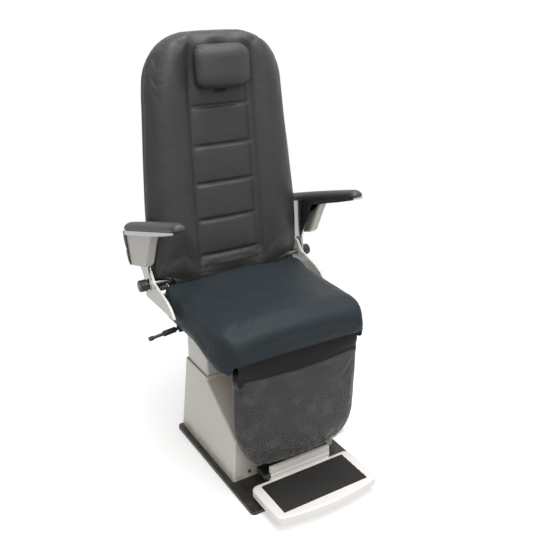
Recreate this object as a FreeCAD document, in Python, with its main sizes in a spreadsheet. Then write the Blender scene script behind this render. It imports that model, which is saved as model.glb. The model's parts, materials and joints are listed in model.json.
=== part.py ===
"""Patient examination chair on a lifting pedestal, in millimetres.

The origin is at floor level under the middle of the base plate, +Z is up and the patient faces -Y.
"right" in a name is the patient's right hand, on -X. The chair stands at its lowest height.
"""

import FreeCAD, Part
import os
import re
import Sketcher
from FreeCAD import Placement, Rotation, Vector

SIZES = {
    # base plate and its anchor holes
    "plate_w": 405, "plate_d": 512, "plate_h": 12, "plate_round": 14,
    "anchor_r": 5.5, "anchor_dx": 300, "anchor_dy": 420, "anchor_y": 5,
    # pedestal cover: a leaning sheet-metal box with a low nose in front
    "cover_flare": 25, "cover_room": 23.5, "cover_front_y": -111, "cover_rear_y": 253,
    "cover_rear_top_y": 226, "cover_top_z": 280, "cover_mouth_y": 76, "nose_top_z": 161,
    "slope_top_z": 268, "cover_wall": 2.5, "cover_round": 7,
    "tab_w": 34, "tab_h": 34, "tab_d": 22, "tab_wall": 3, "tab_x": 130,
    "screw_r": 3, "screw_head_r": 6, "screw_head_h": 3, "screw_len": 9, "screw_z": 34,
    # supply socket, control box
    "socket_w": 48, "socket_h": 28, "socket_d": 21, "socket_z": 62, "socket_lip": 4, "socket_lip_t": 3,
    "socket_hole_w": 26, "socket_hole_h": 17, "socket_hole_d": 16, "socket_pin_w": 2, "socket_pin_h": 5,
    "socket_pin_d": 11, "socket_pin_gap": 7, "box_w": 190, "box_d": 104, "box_h": 66, "box_y": -90,
    "box_edge": 3,
    # lifting column
    "column_y": 150, "column_w": 120, "column_d": 100, "column_wall": 5, "column_top_z": 345,
    "flange_w": 170, "flange_d": 140, "flange_h": 10, "bolt_dx": 146, "bolt_dy": 116,
    "bolt_r": 5, "bolt_head_r": 9, "bolt_head_h": 7, "bolt_len": 20, "bolt_gap": 0.1,
    "glide_t": 2.9, "glide_gap": 0.1, "glide_w": 60, "glide_h": 30, "inner_wall": 4, "inner_bottom_z": 60,
    "glide_inset": 5,
    # lifting drive beside the column
    "drive_gap": 27, "drive_y": 180, "tube_r": 24, "rod_r": 14, "rod_gap": 0.05, "tube_bottom_z": 88,
    "tube_top_z": 318, "rod_bottom_z": 100, "gear_w": 62, "gear_d": 118, "gear_z": 44, "gear_h": 44,
    "motor_r": 25, "motor_y": 120, "motor_h": 120, "drive_pin_r": 6, "drive_pin_len": 52, "ear_w": 8,
    "ear_gap": 0.5, "lug_w": 24, "lug_h": 22, "drive_pin_drop": 14,
    # sliding upper cover and the plate that it hangs from
    "sleeve_gap": 3, "sleeve_wall": 2, "sleeve_bottom_z": 46, "sleeve_lip": 14, "carrier_z": 410,
    "carrier_h": 10, "carrier_edge": 3,
    # seat frame
    "rail_w": 30, "rail_h": 30, "rail_inset": 50, "rail_front_y": -146, "rail_rear_y": 262, "rail_wall": 2.5,
    "cross_mid_y": 88, "cross_rear_y": 182, "ear_t": 8, "ear_half": 16, "ear_r": 17,
    # axle that carries the backrest, the side plates and the armrests
    "axle_y": 238, "axle_z": 560, "axle_r": 9, "axle_end_r": 6, "axle_reach": 35, "fit_gap": 0.05,
    # seat cushion
    "pan_inset": 29, "pan_front_y": -146, "pan_rear_y": 205, "pan_t": 4, "pan_round": 30,
    "soft_gap": 0.3, "seat_half": 255, "seat_rear_y": 209, "seat_front_y": -197, "seat_top_z": 561,
    "seat_crown": 6, "seat_inset": 20, "seat_rear_rise": 7,
    # side plates
    "side_gap": 9, "side_t": 8, "side_low_z": 504, "side_tip_y": 70, "side_rear_y": 280, "side_round": 3,
    "side_mid_y": 127, "side_mid_z": 547, "side_neck_y": 212, "side_neck_z": 570,
    "spacer_r": 7, "spacer_y": 223, "spacer_z": 518, "washer_r": 20, "washer_t": 2.7,
    # armrests, drawn level in their own frame and then tilted about the axle
    "arm_tilt": 16, "arm_t": 6, "arm_eye_r": 19, "arm_pad_z": 172, "arm_pad_h": 25,
    "arm_rear": 56, "arm_pad_rear": 50, "arm_pad_front": 352, "pad_lap": 4, "arm_pad_w": 47,
    "arm_beam_h": 13, "arm_beam_w": 36, "arm_cover_t": 24, "arm_cover_wall": 3, "arm_cover_low": 64,
    "arm_trim_w": 34, "knob_r": 18.5, "knob_t": 24, "knob_stem_r": 13, "knob_stem_t": 4,
    # backrest, drawn upright in its own frame and then tilted about the axle
    "back_tilt": 6, "back_low_v": 12.5, "back_top_v": 730, "back_low_draw": 3, "back_swell": 4,
    "back_mid_draw": 6, "back_high_draw": 23, "back_rear_n": 34, "panel_n": -33, "bolster_n": -41,
    "channel_n": -25, "seam_n": -19, "seam_half": 106, "channel_first_v": 76, "channel_pitch": 114,
    "roll_r": 26.5, "roll_ease": 0.6, "axle_bore_gap": 2, "notch_gap": 1.5, "notch_room": 2,
    "board_t": 9, "board_gap": 2, "board_top_half": 108, "board_shoulder_v": 515, "board_top_v": 705,
    "board_low_v": 26, "cross_t": 8, "cross_low_v": 32,
    "hinge_gap": 1, "hinge_foot_v": 124, "hinge_in_n": 36.5, "hinge_out_n": 56,
    "bush_wall": 2, "shell_rear_n": 62, "shell_wall": 3, "shell_corner": 88, "shell_edge": 14,
    "shell_low_v": 18, "shell_inset": 24,
    # head cushion and its slide
    "head_w": 183, "head_low_v": 563, "head_high_v": 692, "head_rear_n": -41.5, "head_front_n": -84,
    "plate_half": 50, "plate_low_v": 590, "plate_high_v": 668,
    "slot_w": 26, "slot_d": 16, "slot_low_v": 574, "slot_high_v": 684, "slot_wall": 2.5, "slot_mouth": 10,
    "slider_gap": 0.5, "slider_low_v": 605, "slider_high_v": 655,
    # leg rest, hung from the front of the seat frame
    "leg_y": -160, "leg_z": 441, "leg_pin_r": 6, "leg_eye_r": 12, "leg_pin_inset": 33,
    "leg_top_drop": 9, "leg_low_drop": 343, "leg_draw": 44, "leg_front_n": -45, "leg_front_low_n": -63,
    "leg_rear_n": 12, "leg_crown": 9, "leg_inset": 16, "leg_plate_t": 5, "leg_plate_inset": 23,
    "leg_plate_low_half": 122, "leg_plate_top_drop": 25, "leg_plate_shoulder_drop": 240,
    "leg_plate_low_drop": 326, "leg_arm_t": 8, "leg_arm_half": 9, "leg_arm_drop": 44,
    "leg_tongue_half": 104, "leg_tongue_drop": 392, "slot_gap": 1.5,
    # footrest
    "foot_axis_y": -192, "foot_axis_z": 62, "foot_pin_r": 5, "foot_w": 350, "foot_rear_y": -197,
    "foot_front_y": -372, "foot_low_z": 28, "foot_h": 22, "foot_bow_r": 776, "foot_round": 19,
    "foot_edge": 4, "foot_up_half": 106, "foot_up_h": 42, "foot_up_t": 7, "block_r": 9, "block_w": 18,
    "block_gap": 0.6, "tread_w": 292, "tread_d": 128, "tread_front_gap": 34, "tread_sink": 3,
    "tread_t": 4, "tread_rib": 3, "tread_rib_h": 1.5, "tread_ribs": 14, "tread_round": 6, "foot_wall": 5,
    # recline lever
    "lever_y": 150, "lever_z": 436, "lever_tilt": 7, "lever_r": 5,  "lever_len": 104,
    "lever_pin_r": 4, "grip_from": 18, "grip_to": 62, "grip_r": 9, "tip_r": 7, "tip_len": 12,
    "lever_ear_t": 4,
    "lever_ear_w": 22,
    # one overrun for every cut
    "over": 5,
}

# sizes that follow from others: the pedestal has room for the column and the drive beside it, and the frame,
# backrest, side plates, armrests and leg rest go with the seat's width
TIED_SIZES = {
    "drive_x": "=column_w / 2 + drive_gap + gear_w / 2",
    "cover_top_w": "=column_w + (drive_gap + gear_w + cover_room) * 2",
    "cover_bottom_w": "=cover_top_w + cover_flare",
    "rail_x": "=seat_half - rail_inset",
    "pan_w": "=(seat_half - pan_inset) * 2",
    "side_x": "=seat_half + side_gap",
    "axle_end_x": "=side_x + axle_reach",
    "arm_pad_in": "=side_x + pad_lap",
    "arm_pad_out": "=arm_pad_in + arm_pad_w",
    "back_low_half": "=seat_half - back_low_draw",
    "back_wide_half": "=seat_half + back_swell",
    "back_mid_half": "=seat_half - back_mid_draw",
    "back_high_half": "=seat_half - back_high_draw",
    "hinge_x": "=rail_x + hinge_gap",
    "notch_out_x": "=hinge_x + ear_t + notch_room",
    "board_half": "=rail_x - board_gap",
    "leg_pin_x": "=rail_x - leg_pin_inset",
    "leg_half": "=seat_half - leg_draw",
    "leg_plate_half": "=leg_half - leg_plate_inset",
    "lever_x": "=rail_x + lever_ear_w / 2",
}

# places along a soft form, as shares chosen by hand
# seat cushion, rear to front: share of the depth, of the height at the top and at the floor, of the width
SEAT_SHARES = (
    (0, 0.90, 0.03, 0.955), (0.012, 0.955, 0.01, 0.975), (0.035, 0.99, 0, 0.99), (0.09, 1, 0, 1),
    (0.22, 1, 0, 1), (0.38, 1, 0, 1), (0.54, 1, 0, 1), (0.68, 1, 0, 1), (0.79, 0.995, 0, 0.995),
    (0.87, 0.975, 0, 0.975), (0.925, 0.93, 0, 0.94), (0.962, 0.86, 0.015, 0.905),
    (0.985, 0.77, 0.05, 0.87), (0.996, 0.69, 0.10, 0.845), (1, 0.61, 0.16, 0.825),
)
# backrest below its main length, bottom first: shares of the roll's radius up, rearward and forward, and of
# the width
BACK_LOW_SHARES = (
    (-0.92, 0.38, 0.38, 0.955), (-0.74, 0.70, 0.70, 0.972), (-0.42, 0.96, 0.93, 0.987),
    (0, 1.16, 1.04, 0.996), (0.55, 1.27, 1.2, 1),
)
# backrest's rounded top: shares of the height, of the upper width and of the depth
BACK_TOP_SHARES = (
    (0.822, 0.98, 1), (0.867, 0.945, 1), (0.907, 0.888, 0.99), (0.942, 0.803, 0.96), (0.967, 0.705, 0.90),
    (0.985, 0.595, 0.80), (0.996, 0.485, 0.63), (1, 0.40, 0.46),
)
# head cushion, bottom first: shares of the height, width and depth
HEAD_SHARES = (
    (0, 0.90, 0.42), (0.05, 0.955, 0.70), (0.14, 0.99, 0.90), (0.3, 1, 1), (0.5, 1, 1), (0.7, 1, 1),
    (0.86, 0.99, 0.90), (0.95, 0.955, 0.70), (1, 0.90, 0.42),
)
# leg cushion, top first: shares of the height, width and depth
LEG_SHARES = (
    (0, 0.972, 0.56), (0.014, 0.985, 0.77), (0.05, 1, 0.945), (0.12, 1, 1), (0.24, 1, 1), (0.37, 1, 1),
    (0.49, 0.995, 1), (0.60, 0.985, 1), (0.69, 0.965, 1), (0.77, 0.925, 1), (0.84, 0.872, 0.985),
    (0.90, 0.812, 0.94), (0.945, 0.757, 0.87), (0.975, 0.71, 0.77), (0.993, 0.675, 0.64), (1, 0.65, 0.50),
)
# armrest pad, rear to front: shares of the length, width and height
PAD_SHARES = (
    (0, 0.60, 0.40), (0.012, 0.79, 0.70), (0.036, 0.93, 0.92), (0.085, 1, 1), (0.2, 1, 1), (0.35, 1, 1),
    (0.5, 1, 1), (0.65, 1, 1), (0.8, 1, 1), (0.91, 0.985, 1), (0.962, 0.92, 0.93), (0.987, 0.78, 0.72),
    (1, 0.58, 0.42),
)
# backrest's section: how far the panel's seam draws in towards the top and at most, where the corner and
# the shoulder of a bolster lie, and the share of the height at which the rounded top begins
BACK_SECTION_SHARES = {"seam_taper": 0.08, "seam_most": 0.52, "corner": 0.93, "shoulder": 0.66, "top": 0.78}
# backrest's rounded top: how fast panel and bolsters run together, how level they end, and the rear's share
BACK_CROWN_SHARES = {"start": 0.12, "pace": 9, "level": 0.4, "middle": 0.45, "rear": 0.4}
# crowned sections: how far the corners are drawn in, and how much of the height the crown takes
PAD_SECTION_SHARES = (0.12, 0.34)
HEAD_SECTION_SHARES = (0.10, 0.30)

doc = FreeCAD.newDocument("ExaminationChair")
sheet = doc.addObject("Spreadsheet::Sheet", "Sizes")
for row, (alias, number) in enumerate([*SIZES.items(), *TIED_SIZES.items()], start=1):
    sheet.set("A%d" % row, alias)
    sheet.set("B%d" % row, str(number))
    sheet.setAlias("B%d" % row, alias)
doc.recompute()

parts = []


def bound(text):
    """The text of an expression, with each named size pointing at the sheet."""
    return re.sub(r"\b[a-z][a-z_]*[a-z]\b", lambda word: "Sizes." + word.group(), text)


def size(text):
    """The present value of an expression in named sizes."""
    return float(sheet.evalExpression(bound(text)))


def bind(thing, **values):
    """Ties properties of an object to expressions in named sizes."""
    for name, text in values.items():
        thing.setExpression(name.replace("__", "."), bound(text))


def put(thing, x="0", y="0", z="0"):
    """Ties the place of an object to named sizes."""
    bind(thing, Placement__Base__x=x, Placement__Base__y=y, Placement__Base__z=z)
    return thing


def tilt(thing, angle, y, z):
    """Leans an object drawn about the origin, top to the rear, and sets it on its axis."""
    if thing.TypeId == "PartDesign::Body":
        thing = set_of(thing)
    thing.Placement = Placement(Vector(), Rotation(Vector(-1, 0, 0), 1))
    bind(thing, Placement__Rotation__Angle=angle)
    return put(thing, "0", y, z)


def part(thing, label):
    """Names an object as one of the chair's pieces."""
    thing.Label = label
    parts.append(thing)
    return thing


def block(x, y, z):
    """A box from its low and high sides along each axis."""
    box = doc.addObject("Part::Box", "Block")
    spans = ["(%s) - (%s)" % (high, low) for low, high in (x, y, z)]
    bind(box, Length=spans[0], Width=spans[1], Height=spans[2])
    return put(box, x[0], y[0], z[0])


def rod(axis, radius, low, high, at):
    """A round bar along an axis, from low to high; at gives its two other places."""
    bar = doc.addObject("Part::Cylinder", "Rod")
    turns = {"X": Rotation(Vector(0, 1, 0), 90), "Y": Rotation(Vector(1, 0, 0), -90), "Z": Rotation()}
    bar.Placement = Placement(Vector(), turns[axis])
    bind(bar, Radius=radius, Height="(%s) - (%s)" % (high, low))
    places = {"X": (low, at[0], at[1]), "Y": (at[0], low, at[1]), "Z": (at[0], at[1], low)}
    return put(bar, *places[axis])


def fuse(*things):
    """One piece made of several welded or moulded together."""
    if len(things) == 1:
        return things[0]
    joined = doc.addObject("Part::MultiFuse", "Joined")
    joined.Shapes = list(things)
    joined.Refine = True
    return joined


def cut(base, *tools):
    """A piece with others taken out of it."""
    left = doc.addObject("Part::Cut", "Cut")
    left.Base = base
    left.Tool = fuse(*tools)
    return left


def common(first, second):
    """The space that two pieces share."""
    both = doc.addObject("Part::Common", "Both")
    both.Base = first
    both.Tool = second
    return both


def set_of(*things):
    """Like pieces kept together as separate solids."""
    kept = doc.addObject("Part::Compound", "Set")
    kept.Links = list(things)
    return kept


def mirrored(thing):
    """The same piece on the chair's other side."""
    other = doc.addObject("Part::Mirroring", "Mirrored")
    other.Source = thing
    other.Normal = Vector(1, 0, 0)
    return other


def eased(thing, radius, wanted):
    """Rounds the edges that a test picks."""
    doc.recompute()
    edges = [number for number, edge in enumerate(thing.Shape.Edges, start=1) if wanted(edge)]
    rounded = doc.addObject("Part::Fillet", "Eased")
    rounded.Base = thing
    rounded.Edges = [(number, size(radius), size(radius)) for number in edges]
    return rounded


def along(direction):
    """A test for straight edges along an axis."""
    def wanted(edge):
        if edge.Curve.TypeId != "Part::GeomLine":
            return False
        return abs(edge.tangentAt(edge.FirstParameter).dot(direction)) > 1 - 1e-6
    return wanted


def sheet_piece(plane, outline, thickness, start="0", radius=None):
    """A flat piece: an outline in one of its body's planes, padded to its thickness, corners eased."""
    body = doc.addObject("PartDesign::Body", "Flat")
    drawn = body.newObject("Sketcher::SketchObject", "Outline")
    base = [item for item in body.Origin.OriginFeatures if item.Role == plane + "_Plane"][0]
    drawn.AttachmentSupport = [(base, "")]
    drawn.MapMode = "FlatFace"
    corners = [Vector(size(x), size(y), 0) for x, y in outline]
    count = len(corners)
    for number in range(count):
        drawn.addGeometry(Part.LineSegment(corners[number], corners[(number + 1) % count]))
    for number in range(count):
        drawn.addConstraint(Sketcher.Constraint("Coincident", number, 2, (number + 1) % count, 1))
    for number, (texts, corner) in enumerate(zip(outline, corners)):
        for kind, text, place in (("DistanceX", texts[0], corner.x), ("DistanceY", texts[1], corner.y)):
            tie = drawn.addConstraint(Sketcher.Constraint(kind, -1, 1, number, 1, place))
            drawn.setExpression("Constraints[%d]" % tie, bound(text))
    pad = body.newObject("PartDesign::Pad", "Pad")
    pad.Profile = drawn
    bind(pad, Length=thickness)
    doc.recompute()
    normal = {"XY": Vector(0, 0, 1), "YZ": Vector(1, 0, 0), "XZ": Vector(0, 1, 0)}[plane]
    if radius:
        wanted = along(normal)
        names = ["Edge%d" % number for number, edge in enumerate(pad.Shape.Edges, start=1) if wanted(edge)]
        ease = body.newObject("PartDesign::Fillet", "Ease")
        ease.Base = (pad, names)
        bind(ease, Radius=radius)
    places = {"XY": ("0", "0", start), "YZ": (start, "0", "0"), "XZ": ("0", start, "0")}
    return put(body, *places[plane])


def bolt(axis, head, low, radius, head_radius, head_height, at, sides=6):
    """A bolt whose head stands on the named face and whose shank ends at low."""
    shank_ends = sorted((low, head), key=size)
    shank = rod(axis, radius, shank_ends[0], shank_ends[1], at)
    outward = 1 if size(head) > size(low) else -1
    top = doc.addObject("Part::Prism", "Head")
    top.Polygon = sides
    turns = {"X": Rotation(Vector(0, 1, 0), 90), "Y": Rotation(Vector(1, 0, 0), -90), "Z": Rotation()}
    top.Placement = Placement(Vector(), turns[axis])
    bind(top, Circumradius=head_radius, Height=head_height)
    start = head if outward > 0 else "(%s) - (%s)" % (head, head_height)
    places = {"X": (start, at[0], at[1]), "Y": (at[0], start, at[1]), "Z": (at[0], at[1], start)}
    return fuse(shank, put(top, *places[axis]))


def soft(label, sections):
    """A cushion: a smooth loft through closed sections of lines and arcs."""
    shape = Part.makeLoft([Part.Wire(section) for section in sections], True, False)
    if shape.Volume < 0:
        shape.reverse()
    thing = doc.addObject("Part::Feature", label)
    thing.Shape = shape
    return thing


def line(first, last):
    return Part.LineSegment(first, last).toShape()


def arc(first, middle, last):
    return Part.Arc(first, middle, last).toShape()


def crowned(place, half, low, high, side_share, crown_share):
    """A four-edge section: flat under face, bulging sides and a crowned top.

    place turns (across, height) into a point. The half width is at the bulge; side_share is how far the
    corners are drawn in and crown_share how much of the height the crown takes.
    """
    drawn = half * (1 - side_share)
    shoulder = high - (high - low) * crown_share
    middle = (low + shoulder) / 2
    corners = [place(-drawn, low), place(drawn, low), place(drawn, shoulder), place(-drawn, shoulder)]
    return [
        line(corners[0], corners[1]),
        arc(corners[1], place(half, middle), corners[2]),
        arc(corners[2], place(0, high), corners[3]),
        arc(corners[3], place(-half, middle), corners[0]),
    ]


def base_pieces():
    """The floor plate and the pedestal's fixed cover."""
    half_w, half_d = "plate_w / 2", "plate_d / 2"
    outline = [("-" + half_w, "-" + half_d), (half_w, "-" + half_d), (half_w, half_d), ("-" + half_w, half_d)]
    plate = sheet_piece("XY", outline, "plate_h", radius="plate_round")
    holes = []
    for side in ("-", ""):
        for end in ("-", ""):
            at = (side + "anchor_dx / 2", "anchor_y + %s1 * anchor_dy / 2" % end)
            holes.append(rod("Z", "anchor_r", "-over", "plate_h + over", at))
            at = (side + "bolt_dx / 2", "column_y + %s1 * bolt_dy / 2" % end)
            holes.append(rod("Z", "bolt_r + bolt_gap", "-over", "plate_h + over", at))
    part(cut(plate, *holes), "base_plate")

    cover = cut(cover_form("0"), cover_form("cover_wall"))
    mouth_half = "cover_top_w / 2 - cover_wall"
    mouth = block(("-(%s)" % mouth_half, mouth_half),
                  ("cover_mouth_y + cover_wall", "cover_rear_top_y - cover_wall"),
                  ("cover_top_z - over", "cover_top_z + over"))
    cable_hole = block(("-socket_w / 2 - fit_gap", "socket_w / 2 + fit_gap"),
                       ("cover_rear_top_y - socket_d", "cover_rear_y + over"),
                       ("socket_z - fit_gap", "socket_z + socket_h + fit_gap"))
    screw_holes, screws = [], []
    for side in ("-", ""):
        x = side + "tab_x"
        for rear in (False, True):
            face = "(%s)" % rear_face("screw_z") if rear else "cover_front_y"
            screws.append((x, face, rear))
            reach = ("cover_front_y - over",
                     "cover_front_y + over") if not rear else ("cover_rear_y - over * 4",
                                                               "cover_rear_y + over")
            screw_holes.append(rod("Y", "screw_r + bolt_gap", reach[0], reach[1], (x, "screw_z")))
            if rear:
                screw_holes.append(rod("Y", "screw_head_r + bolt_gap", face, reach[1], (x, "screw_z")))
    part(cut(cover, mouth, cable_hole, *screw_holes), "lower_cover")
    return screws


def rear_face(height):
    """Where the pedestal cover's leaning rear face lies at a height."""
    lean = "(cover_rear_y - cover_rear_top_y) / (cover_top_z - plate_h)"
    return "cover_rear_y - (%s - plate_h) * %s" % (height, lean)


def cover_form(inset):
    """The pedestal cover's solid form, drawn in by a wall."""
    reach = "" if inset == "0" else " - " + inset
    form = doc.addObject("Part::Wedge", "Form")
    drop = "0" if inset == "0" else "over"
    side_lean = "(cover_bottom_w - cover_top_w) / 2 / (cover_top_z - plate_h)"
    rear_lean = "(cover_rear_y - cover_rear_top_y) / (cover_top_z - plate_h)"
    low_half = "cover_bottom_w / 2 + %s * %s%s" % (drop, side_lean, reach)
    high_half = "cover_top_w / 2%s" % reach
    bind(form, Xmin="-(%s)" % low_half, Xmax=low_half, X2min="-(%s)" % high_half, X2max=high_half)
    bind(form, Zmin="cover_front_y + %s" % inset, Z2min="cover_front_y + %s" % inset)
    bind(form, Zmax="cover_rear_y + %s * %s%s" % (drop, rear_lean, reach), Z2max="cover_rear_top_y%s" % reach)
    bind(form, Ymin="plate_h - %s" % drop, Ymax="cover_top_z%s" % reach)
    form.Placement = Placement(Vector(), Rotation(Vector(1, 0, 0), 90))
    turned = doc.addObject("Part::Mirroring", "Turned")
    turned.Source = form
    turned.Normal = Vector(0, 1, 0)
    slope_y = "cover_mouth_y + %s" % inset
    slope_foot = "cover_front_y + %s" % inset
    outline = [
        (slope_foot, "-over * 2"),
        ("cover_rear_y + over * 3", "-over * 2"),
        ("cover_rear_y + over * 3", "cover_top_z + over * 2"),
        (slope_y, "cover_top_z + over * 2"),
        (slope_y, "slope_top_z%s" % reach),
        (slope_foot, "nose_top_z%s" % reach),
    ]
    side = sheet_piece("YZ", outline, "cover_bottom_w + cover_top_w", "-(cover_bottom_w + cover_top_w) / 2")
    form = common(turned, side)
    radius = "cover_round%s" % reach
    inside = min(size("cover_top_w / 2 - over * 2"), size("cover_bottom_w / 2 - over * 2"))

    def upright(edge):
        low, high = edge.BoundBox.ZMin, edge.BoundBox.ZMax
        return high - low > size("over") and abs(edge.CenterOfMass.x) > inside

    return eased(form, radius, upright)


def cover_fixings(screws):
    """Tabs that the cover is screwed to, the socket and the control box."""
    tabs, bolts = [], []
    for x, face, rear in screws:
        lean = "(cover_rear_y - cover_rear_top_y) / (cover_top_z - plate_h) * (tab_h)"
        wall = "(%s) - cover_wall - %s" % (face, lean) if rear else "cover_front_y + cover_wall"
        inward = "-1" if rear else "1"
        ends = sorted((wall, "(%s) + (%s) * tab_wall" % (wall, inward)), key=size)
        foot = sorted((wall, "(%s) + (%s) * tab_d" % (wall, inward)), key=size)
        span = ("%s - tab_w / 2" % x, "%s + tab_w / 2" % x)
        upright = block(span, tuple(ends), ("plate_h", "plate_h + tab_h"))
        sole = block(span, tuple(foot), ("plate_h", "plate_h + tab_wall"))
        reach = "(%s) + (%s) * screw_len" % (wall, inward)
        hole = rod("Y", "screw_r + fit_gap", "(%s) - over * 2" % wall, "(%s) + over * 2" % wall,
                   (x, "screw_z"))
        tabs.append(cut(fuse(upright, sole), hole))
        bolts.append(bolt("Y", face, reach, "screw_r", "screw_head_r", "screw_head_h", (x, "screw_z")))
    part(set_of(*tabs), "cover_tabs")
    part(set_of(*bolts), "cover_screws")

    face = rear_face("(socket_z + socket_h + socket_lip)")
    body = block(("-socket_w / 2", "socket_w / 2"),
                 ("(%s) - socket_d" % face, "(%s) + socket_lip_t / 2" % face),
                 ("socket_z", "socket_z + socket_h"))
    outside = rear_face("(socket_z - socket_lip)")
    lip = block(("-socket_w / 2 - socket_lip", "socket_w / 2 + socket_lip"),
                ("(%s) - cover_wall" % face, "(%s) + socket_lip_t" % outside),
                ("socket_z - socket_lip", "socket_z + socket_h + socket_lip"))
    lip = cut(lip, cover_form("0"))
    hole = block(("-socket_hole_w / 2", "socket_hole_w / 2"),
                 ("(%s) - socket_hole_d" % face, "(%s) + socket_lip_t + over" % outside),
                 ("socket_z + (socket_h - socket_hole_h) / 2", "socket_z + (socket_h + socket_hole_h) / 2"))
    shell = cut(fuse(body, lip), eased(hole, "socket_pin_w", along(Vector(0, 1, 0))))
    pins = []
    for step, rise in ((-1, 0), (0, 1), (1, 0)):
        x = "%d * socket_pin_gap" % step
        z = "socket_z + socket_h / 2 + (%d) * socket_pin_h / 2 - socket_pin_h / 2" % rise
        pins.append(block(("%s - socket_pin_w / 2" % x, "%s + socket_pin_w / 2" % x),
                          ("(%s) - socket_hole_d" % face, "(%s) - socket_hole_d + socket_pin_d" % face),
                          (z, "%s + socket_pin_h" % z)))
    part(shell, "supply_socket")
    part(set_of(*pins), "socket_pins")
    control = block(("-box_w / 2", "box_w / 2"), ("box_y", "box_y + box_d"), ("plate_h", "plate_h + box_h"))
    part(eased(control, "box_edge", along(Vector(0, 0, 1))), "control_box")


def hollow_column(half_w, half_d, wall, low, high):
    """An upright square tube about the column's axis."""
    outer = block(("-(%s)" % half_w, half_w), ("column_y - (%s)" % half_d, "column_y + %s" % half_d),
                  (low, high))
    inner = block(("-(%s) + %s" % (half_w, wall), "%s - %s" % (half_w, wall)),
                  ("column_y - (%s) + %s" % (half_d, wall), "column_y + %s - %s" % (half_d, wall)),
                  ("%s - over" % low, "%s + over" % high))
    return cut(outer, inner)


def glides(low, inner_half_w, inner_half_d):
    """Four plastic pads in the gap between the two tubes, against the outer one or the inner one."""
    high = "%s + glide_h" % low
    pads = []
    for side in ("-1", "1"):
        ends = ["(%s) * (%s)" % (side, inner_half_w), "(%s) * (%s + glide_t)" % (side, inner_half_w)]
        pads.append(block(tuple(sorted(ends, key=size)), ("column_y - glide_w / 2", "column_y + glide_w / 2"),
                          (low, high)))
        ends = ["column_y + (%s) * (%s)" % (side, inner_half_d),
                "column_y + (%s) * (%s + glide_t)" % (side, inner_half_d)]
        pads.append(block(("-glide_w / 2", "glide_w / 2"), tuple(sorted(ends, key=size)), (low, high)))
    return set_of(*pads)


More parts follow.
